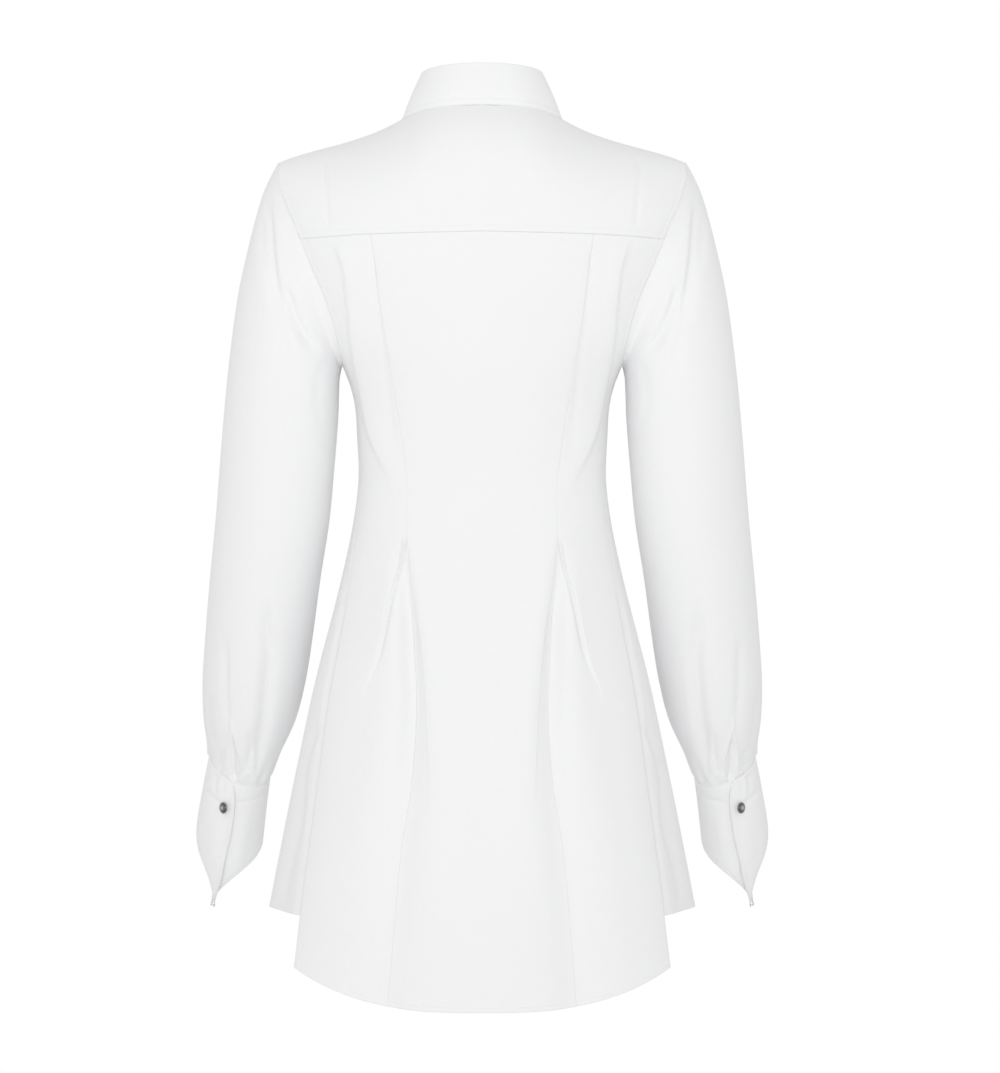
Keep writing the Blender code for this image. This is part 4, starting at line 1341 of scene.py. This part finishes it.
@dataclass
class Sleeve:
    """Full sleeve, set into the armhole and gathered into its cuff."""

    sewing: Sewing
    finishes: Finishes
    name: str
    side: int
    form: BodyForm = field(default_factory=BodyForm)
    wall: float = 0.7
    cell: float = 3.05
    blend: float = 0.1           # share of the length over which the armhole's shape fades
    tuck: float = 0.9            # how far its end lies inside the cuff's top edge
    tuck_from: float = 0.985     # share of the length from which it passes down into the cuff
    slit_turns: tuple[float, float] = (418, 462)   # finer cloth round the slit
    slit_shares: tuple[float, float] = (0.90, 1.0)
    slit_cells: tuple[float, float] = (1.1, 0.0026)   # degrees round and share of the length
    tuck_way: tuple[float, float, float] = (0, -1.0, -2.8)
    armhole_gap: float = 0.2
    around: float = 330          # rough size round and along, for the grid
    length: float = 560
    lap_rise: float = 0.9        # how far it lifts under the cuff's upper lap
    lap_turns: tuple[float, float] = (-7, 78)
    thread: Thread = field(default_factory=Thread)

    @staticmethod
    def finer(lines: Array, stretch: tuple[float, float], cell: float) -> Array:
        """Grid lines in rising order, with an even finer cell in one stretch."""
        low, high = stretch
        inner = np.linspace(low, high, round((high - low) / cell) + 1)
        gap = 0.5 * cell
        return np.concatenate((lines[lines < low - gap], inner, lines[lines > high + gap]))

    @staticmethod
    def ring_point(table: Table, down: Array, turn: Array, out: Array = 0.0) -> Array:
        """Points of a sleeve or cuff: share of the way down its rings, degrees round the arm."""
        ring = {name: table.at(name, down) for name in table.names[1:]}
        s, c = np.sin(np.radians(turn)), np.cos(np.radians(turn))
        outer = np.stack((ring["out_x"], 0 * down, ring["out_z"]), axis=-1)
        inner = np.stack((ring["in_x"], 0 * down, ring["in_z"]), axis=-1)
        middle, arm = (outer + inner) / 2, (outer - inner) / 2
        arm = arm * (1 + out / np.linalg.norm(arm, axis=-1))[..., None]
        off = np.stack((0 * down, (ring["deep"] + out) * s - ring["ahead"], -ring["drop"] * s), axis=-1)
        return middle + arm * c[..., None] + off

    def armhole_point(self, turn: Array) -> Array:
        """Points of the armhole seam."""
        form = self.form
        s, c = np.sin(np.radians(turn)), np.cos(np.radians(turn))
        z = mix(form.underarm, form.shoulder_tip, (1 + c) / 2)
        face = np.where(s >= 0, 1.0, -1.0)
        x = np.where(face > 0, ARMHOLE.at("back", z), ARMHOLE.at("front", z))
        y = face * form.reach(z, face) * form.round_over(x, z, face) * form.narrow(x, z)
        return np.stack((x, y, z), axis=-1)

    def build(self) -> None:
        """Make the sleeve."""
        turns = self.finer(180 + 360 * spaced(self.around, self.cell, EDGE_LINES),
                           self.slit_turns, self.slit_cells[0])
        downs = self.finer(1 - spaced(self.length, self.cell, EDGE_LINES)[::-1],
                           self.slit_shares, self.slit_cells[1])[::-1]
        turn, down = np.meshgrid(turns, downs)
        points = self.ring_point(SLEEVE, down, turn)
        into_cuff = ease((down - self.tuck_from) / (1 - self.tuck_from))[..., None]
        points = points + np.array(self.tuck_way) * into_cuff
        away = np.array((1.0, 0, 0.35)) * self.armhole_gap
        share = ease(down / self.blend)[..., None]
        top = mix(self.armhole_point(turn) + away, points, share)
        points = np.where((down < self.blend)[..., None], top, points)
        along = np.clip(-(points[..., 2] + 100) / 520, 0, 1)
        core = np.stack((mix(165, 233, along), -mix(8, 78, along), points[..., 2] - 20), axis=-1)
        cloth = Cloth(points, core)
        back = ease(np.sin(np.radians(turn)) * 2.2)
        front = ease(-np.sin(np.radians(turn)) * 2.2)
        x, z = points[..., 0], points[..., 2]
        height = pushed(SLEEVE_BACK, x, z) * back + pushed(SLEEVE_FRONT, x, z) * front
        near = ease((down - 0.90) / 0.08) * (1 - 0.85 * ease((down - 0.98) / 0.016))
        gathers = np.sin(np.radians(turn) * 13 + 0.8 * np.sin(np.radians(turn) * 3)) * 0.9
        gathers = gathers + np.sin(np.radians(turn) * 7 + 1.1) * 0.7
        first, last = self.lap_turns
        lapped = ease((turn - 360 - first) / 60) * (1 - ease((turn - 360 - last) / 6))
        height = height * (1 - 0.8 * ease((down - 0.985) / 0.012))
        cloth.push(height + gathers * near + self.lap_rise * lapped * ease((down - 0.96) / 0.03))
        cloth.points[..., 0] *= self.side
        cloth.core[..., 0] *= self.side
        cloth.measure()
        cloth.turn_in(Edge.HIGH, depth=0.6, width=1.8)
        cloth.push(-self.tuck * (1 - ease((cloth.from_edge(Edge.LOW) - 3) / 4.5)))
        cloth.turn_in(Edge.FIRST, Edge.LAST, depth=0.6, width=1.2)
        first, last = cloth.points[:, 0].copy(), cloth.points[:, -1].copy()
        cloth.points[:, 0] = cloth.points[:, -1] = (first + last) / 2
        self.sewing.sheet("sleeve_" + self.name, cloth, self.wall, self.finishes.cotton, "cotton",
                          "gathered", joined=True)


@dataclass
class Cuff:
    """Deep pointed cuff, its upper lap over its under lap."""

    sewing: Sewing
    finishes: Finishes
    name: str
    side: int
    over: float = 7
    under: float = 9
    lift: float = 2.6
    rows: tuple[float, float] = (2.5, 6.0)
    around: float = 220          # rough size round and down, for the grid
    height: float = 110
    middle: tuple[float, float, float] = (238, -95.0, 0)     # inside the wrist
    button_at: tuple[float, float] = (0.915, 0.29)           # across and down the upper lap
    button_lean: float = 0.7     # how far it tips outwards on its shank
    button_rise: float = 1.0     # and how far it is lifted
    thread: Thread = field(default_factory=lambda: Thread(pitch=2.4, length=1.7, width=0.5))

    def point(self, across: Array, down: Array, out: float = 0.0) -> Array:
        """Points of the cuff: -1 under lap to 1 upper lap, 0 at the seam to 1 at the hem."""
        far = np.abs(across)
        down = down * (0.40 + 0.38 * far ** 1.6 + 0.22 * far ** 5)
        passed = np.where(across > 0, self.over, self.under)
        turn = CUFF_OPENING.at("turn", down) - 180 + (180 + passed) * across
        lift = self.lift * ease((across - 0.55) / 0.4) * mix(0.55, 1.0, ease(down / 0.15))
        return Sleeve.ring_point(CUFF, down, turn, lift + out)

    def seat(self) -> tuple[Vector, Vector]:
        """Foot of the cuff's button on the upper lap, and the way it faces."""
        across, down = self.button_at
        step = 0.01
        here = self.point(np.array(across), np.array(down))
        along = self.point(np.array(across + step), np.array(down)) - here
        up = here - self.point(np.array(across), np.array(down + step))
        facing = np.cross(along, up)
        facing = unit(facing * np.sign(facing @ (here * (1, 1, 0) - np.array(self.middle))))
        leaning = unit(facing + self.button_lean * np.array((1.0, 0, 0.18)))
        way = np.array((self.side, 1, 1))
        return Vector((here + facing * self.button_rise) * way) * MM, Vector(leaning * way)

    def build(self) -> None:
        """Make the cuff and its stitching."""
        lines = (0.6, 1.2, 1.9, 2.5, 3.1, 4.2, 5.4, 6.0, 6.6, 8.0)
        across = 2 * spaced(self.around, 1.7, lines) - 1
        down = 1 - spaced(self.height, 1.8, lines)
        u, v = np.meshgrid(across, down)
        points = self.point(u, v)
        core = points * (0, 0, 1) + np.array(self.middle)
        cloth = Cloth(points, core)
        seen = ease((points[..., 1] + 90) / 25)
        cloth.push(pushed(CUFF_BACK, points[..., 0], points[..., 2]) * seen)
        cloth.points[..., 0] *= self.side
        cloth.core[..., 0] *= self.side
        cloth.measure()
        cloth.turn_in(Edge.LOW, Edge.FIRST, Edge.LAST, Edge.HIGH, depth=0.7, width=0.9)
        for inset in self.rows:
            for edge in (Edge.LOW, Edge.FIRST, Edge.LAST):
                cloth.ridge(edge, inset, -0.4, 0.7)
            self.thread.row(cloth.run(Edge.LOW, inset, 0.06, 0.94))
            for edge in (Edge.FIRST, Edge.LAST):
                self.thread.row(cloth.run(edge, inset, 0.12, 0.98))
        self.sewing.sheet("cuff_" + self.name, cloth, 1.2, self.finishes.doubled,
                          "cotton_doubled", "folded")
        self.sewing.add("cuff_stitches_" + self.name, self.thread.mesh("cuff_stitches"),
                        self.finishes.thread, "cotton_doubled")


# ---- buttons -----------------------------------------------------------------------------------

@dataclass
class Buttons:
    """Domed metal buttons with a rolled rim, on their shanks.

    Those of the front stand where the frame's do, and seats gives the places of the cuffs'.
    """

    sewing: Sewing
    finishes: Finishes
    radius: float = 5.5
    steps: int = 40
    seats: dict[str, tuple[Vector, Vector]] = field(default_factory=dict)

    def profile(self) -> list[tuple[float, float]]:
        """Half section from the crown to the foot, out and up."""
        r = self.radius
        crown = [(r * 0.80 * math.sin(math.radians(a)), 1.9 + 1.7 * math.cos(math.radians(a)))
                 for a in (0, 14, 28, 42, 56, 70, 82)]
        rim = [(r * 0.83, 1.95), (r * 0.87, 2.02), (r * 0.93, 2.1), (r * 0.98, 1.95), (r, 1.65),
               (r * 0.98, 1.35), (r * 0.92, 1.2), (1.7, 1.15), (1.5, 0.9), (1.5, -1.8), (0, -1.8)]
        return crown + rim

    def build(self) -> None:
        """Replace each button of the frame by a finished one."""
        for node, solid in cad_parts.items():
            if "button" in node and node != "button_band":
                self.button(node, *self.seats.get(node, self.seat_of(solid)))

    def seat_of(self, solid: bpy.types.Object) -> tuple[Vector, Vector]:
        """Foot and direction of a front button, from the frame's solid."""
        points = np.array([v.co for v in solid.data.vertices])
        middle = points.mean(axis=0)
        axis = Vector(np.linalg.svd(points - middle)[2][2])
        if axis.y > 0:
            axis.negate()
        low = float(((points - middle) @ np.array(axis)).min())
        return Vector(middle) + axis * low, axis

    def button(self, node: str, foot: Vector, axis: Vector) -> None:
        """One button, its rim and crown marked for a painted highlight.

        Args:
            node: the frame's node.
            foot: where its shank stands.
            axis: the way it faces.
        """
        shape = bmesh.new()
        verts = [shape.verts.new((x * MM, 0, z * MM)) for x, z in self.profile()]
        edges = [shape.edges.new(pair) for pair in zip(verts, verts[1:])]
        bmesh.ops.spin(shape, geom=verts + edges, cent=(0, 0, 0), axis=(0, 0, 1),
                       angle=math.tau, steps=self.steps, use_merge=True)
        bmesh.ops.remove_doubles(shape, verts=shape.verts, dist=0.000002)
        bmesh.ops.recalc_face_normals(shape, faces=shape.faces)
        # painted highlight: strongest at the crown's middle and on the rim, none in between
        painted_highlight = shape.verts.layers.float.new("painted_highlight")
        for vert in shape.verts:
            out = math.hypot(vert.co.x, vert.co.y) / MM / self.radius
            vert[painted_highlight] = float(np.interp(out, (0, 0.25, 0.5, 0.76, 0.82, 0.88, 0.95, 1.0),
                                           (1.0, 0.75, 0.12, 0.0, 0.0, 0.55, 0.5, 0.05)))
        turn = axis.to_track_quat("Z", "Y").to_matrix().to_4x4()
        bmesh.ops.transform(shape, matrix=Matrix.Translation(foot) @ turn, verts=shape.verts)
        mesh = bpy.data.meshes.new(node + "_metal")
        shape.to_mesh(mesh)
        shape.free()
        mesh.shade_smooth()
        self.sewing.add(node + "_metal", mesh, self.finishes.metal, "gunmetal", node)


# ---- studio ------------------------------------------------------------------------------------

@dataclass(frozen=True)
class Studio:
    """Camera straight behind the dress, one broad soft light beside it, white all round."""

    distance: float = 30.0
    sensor: float = 36.0
    middle: tuple[float, float] = (-0.017, -0.3995)
    frame_height: float = 1.0269
    floor_level: float = -1.25
    floor_radius: float = 3.2
    key_place: tuple[float, float, float] = (0.3, 4.6, -0.75)
    key_size: float = 2.4
    key_power: float = 53.0
    fill_low: float = 0.93       # strength of the surroundings from below
    fill_high: float = 0.77      # and from above

    def camera(self) -> None:
        """Set the camera."""
        data = bpy.data.cameras.new("camera")
        data.sensor_width = self.sensor
        data.lens = self.sensor * self.distance / self.frame_height
        data.clip_end = 2 * self.distance
        seat = bpy.data.objects.new("camera", data)
        seat.location = (self.middle[0], self.distance, self.middle[1])
        seat.rotation_euler = (math.radians(90), 0, math.radians(180))
        bpy.context.scene.collection.objects.link(seat)
        bpy.context.scene.camera = seat

    def key(self) -> None:
        """Broad soft light that faces the middle of the dress."""
        data = bpy.data.lights.new("key", "AREA")
        data.shape = "SQUARE"
        data.size = self.key_size
        data.energy = self.key_power
        lamp = bpy.data.objects.new("key", data)
        lamp.location = self.key_place
        toward = Vector((0, 0, -0.4)) - Vector(self.key_place)
        lamp.rotation_euler = toward.to_track_quat("-Z", "Y").to_euler()
        bpy.context.scene.collection.objects.link(lamp)

    def surroundings(self) -> None:
        """White for the eye, softer for the cloth."""
        world = bpy.data.worlds.new("studio")
        world.use_nodes = True
        nodes, links = world.node_tree.nodes, world.node_tree.links
        paths = nodes.new("ShaderNodeLightPath")
        seen = nodes["Background"]
        seen.inputs["Color"].default_value = (1, 1, 1, 1)
        way = nodes.new("ShaderNodeTexCoord")
        height = nodes.new("ShaderNodeSeparateXYZ")
        links.new(way.outputs["Generated"], height.inputs["Vector"])
        shade = nodes.new("ShaderNodeMapRange")
        shade.inputs["From Min"].default_value = -1.0
        shade.inputs["To Min"].default_value = self.fill_low
        shade.inputs["To Max"].default_value = self.fill_high
        links.new(height.outputs["Z"], shade.inputs["Value"])
        strength = nodes.new("ShaderNodeMix")
        links.new(paths.outputs["Is Camera Ray"], strength.inputs[0])
        links.new(shade.outputs["Result"], strength.inputs[2])
        strength.inputs[3].default_value = 1.0
        links.new(strength.outputs[0], seen.inputs["Strength"])
        bpy.context.scene.world = world

    def floor(self) -> None:
        """Plain pale floor well below the hem."""
        shape = bmesh.new()
        bmesh.ops.create_circle(shape, cap_ends=True, segments=96, radius=self.floor_radius)
        bmesh.ops.translate(shape, verts=shape.verts, vec=(0, 0, self.floor_level))
        mesh = bpy.data.meshes.new("floor")
        shape.to_mesh(mesh)
        shape.free()
        ground = bpy.data.objects.new("floor", mesh)
        bpy.context.scene.collection.objects.link(ground)
        paint = bpy.data.materials.new("floor_paint")
        paint.use_nodes = True
        shader = paint.node_tree.nodes["Principled BSDF"]
        shader.inputs["Base Color"].default_value = (0.82, 0.82, 0.82, 1)
        shader.inputs["Roughness"].default_value = 0.9
        mesh.materials.append(paint)

    def build(self) -> None:
        """Set up camera, lights, surroundings and floor."""
        self.camera()
        self.surroundings()
        self.key()
        self.floor()
        view = bpy.context.scene.view_settings
        view.view_transform = "Standard"
        view.look = "None"


def main() -> None:
    """Build the dress piece by piece, then the studio round it."""
    logging.basicConfig(level=logging.INFO, format="%(message)s")
    finishes = Finishes(
        cotton=CottonFinish("cotton_poplin").material(),
        doubled=CottonFinish("cotton_interfaced", crumple=0.05, roughness=0.84).material(),
        thread=CottonFinish("cotton_thread", colour=(0.91, 0.913, 0.92), weave=0.0).material(),
        metal=MetalFinish("gunmetal_plate").material(),
    )
    sewing = Sewing()
    BodyPanels(sewing, finishes).build()
    Yoke(sewing, finishes).build()
    Collar(sewing, finishes).build()
    seats = {}
    for name, side in (("left", 1), ("right", -1)):
        Sleeve(sewing, finishes, name, side).build()
        cuff = Cuff(sewing, finishes, name, side)
        cuff.build()
        seats["cuff_button_" + name] = cuff.seat()
    Buttons(sewing, finishes, seats=seats).build()
    Studio().build()
    LOG.info("%d pieces", len(sewing.pieces))


if __name__ == "__main__":
    main()
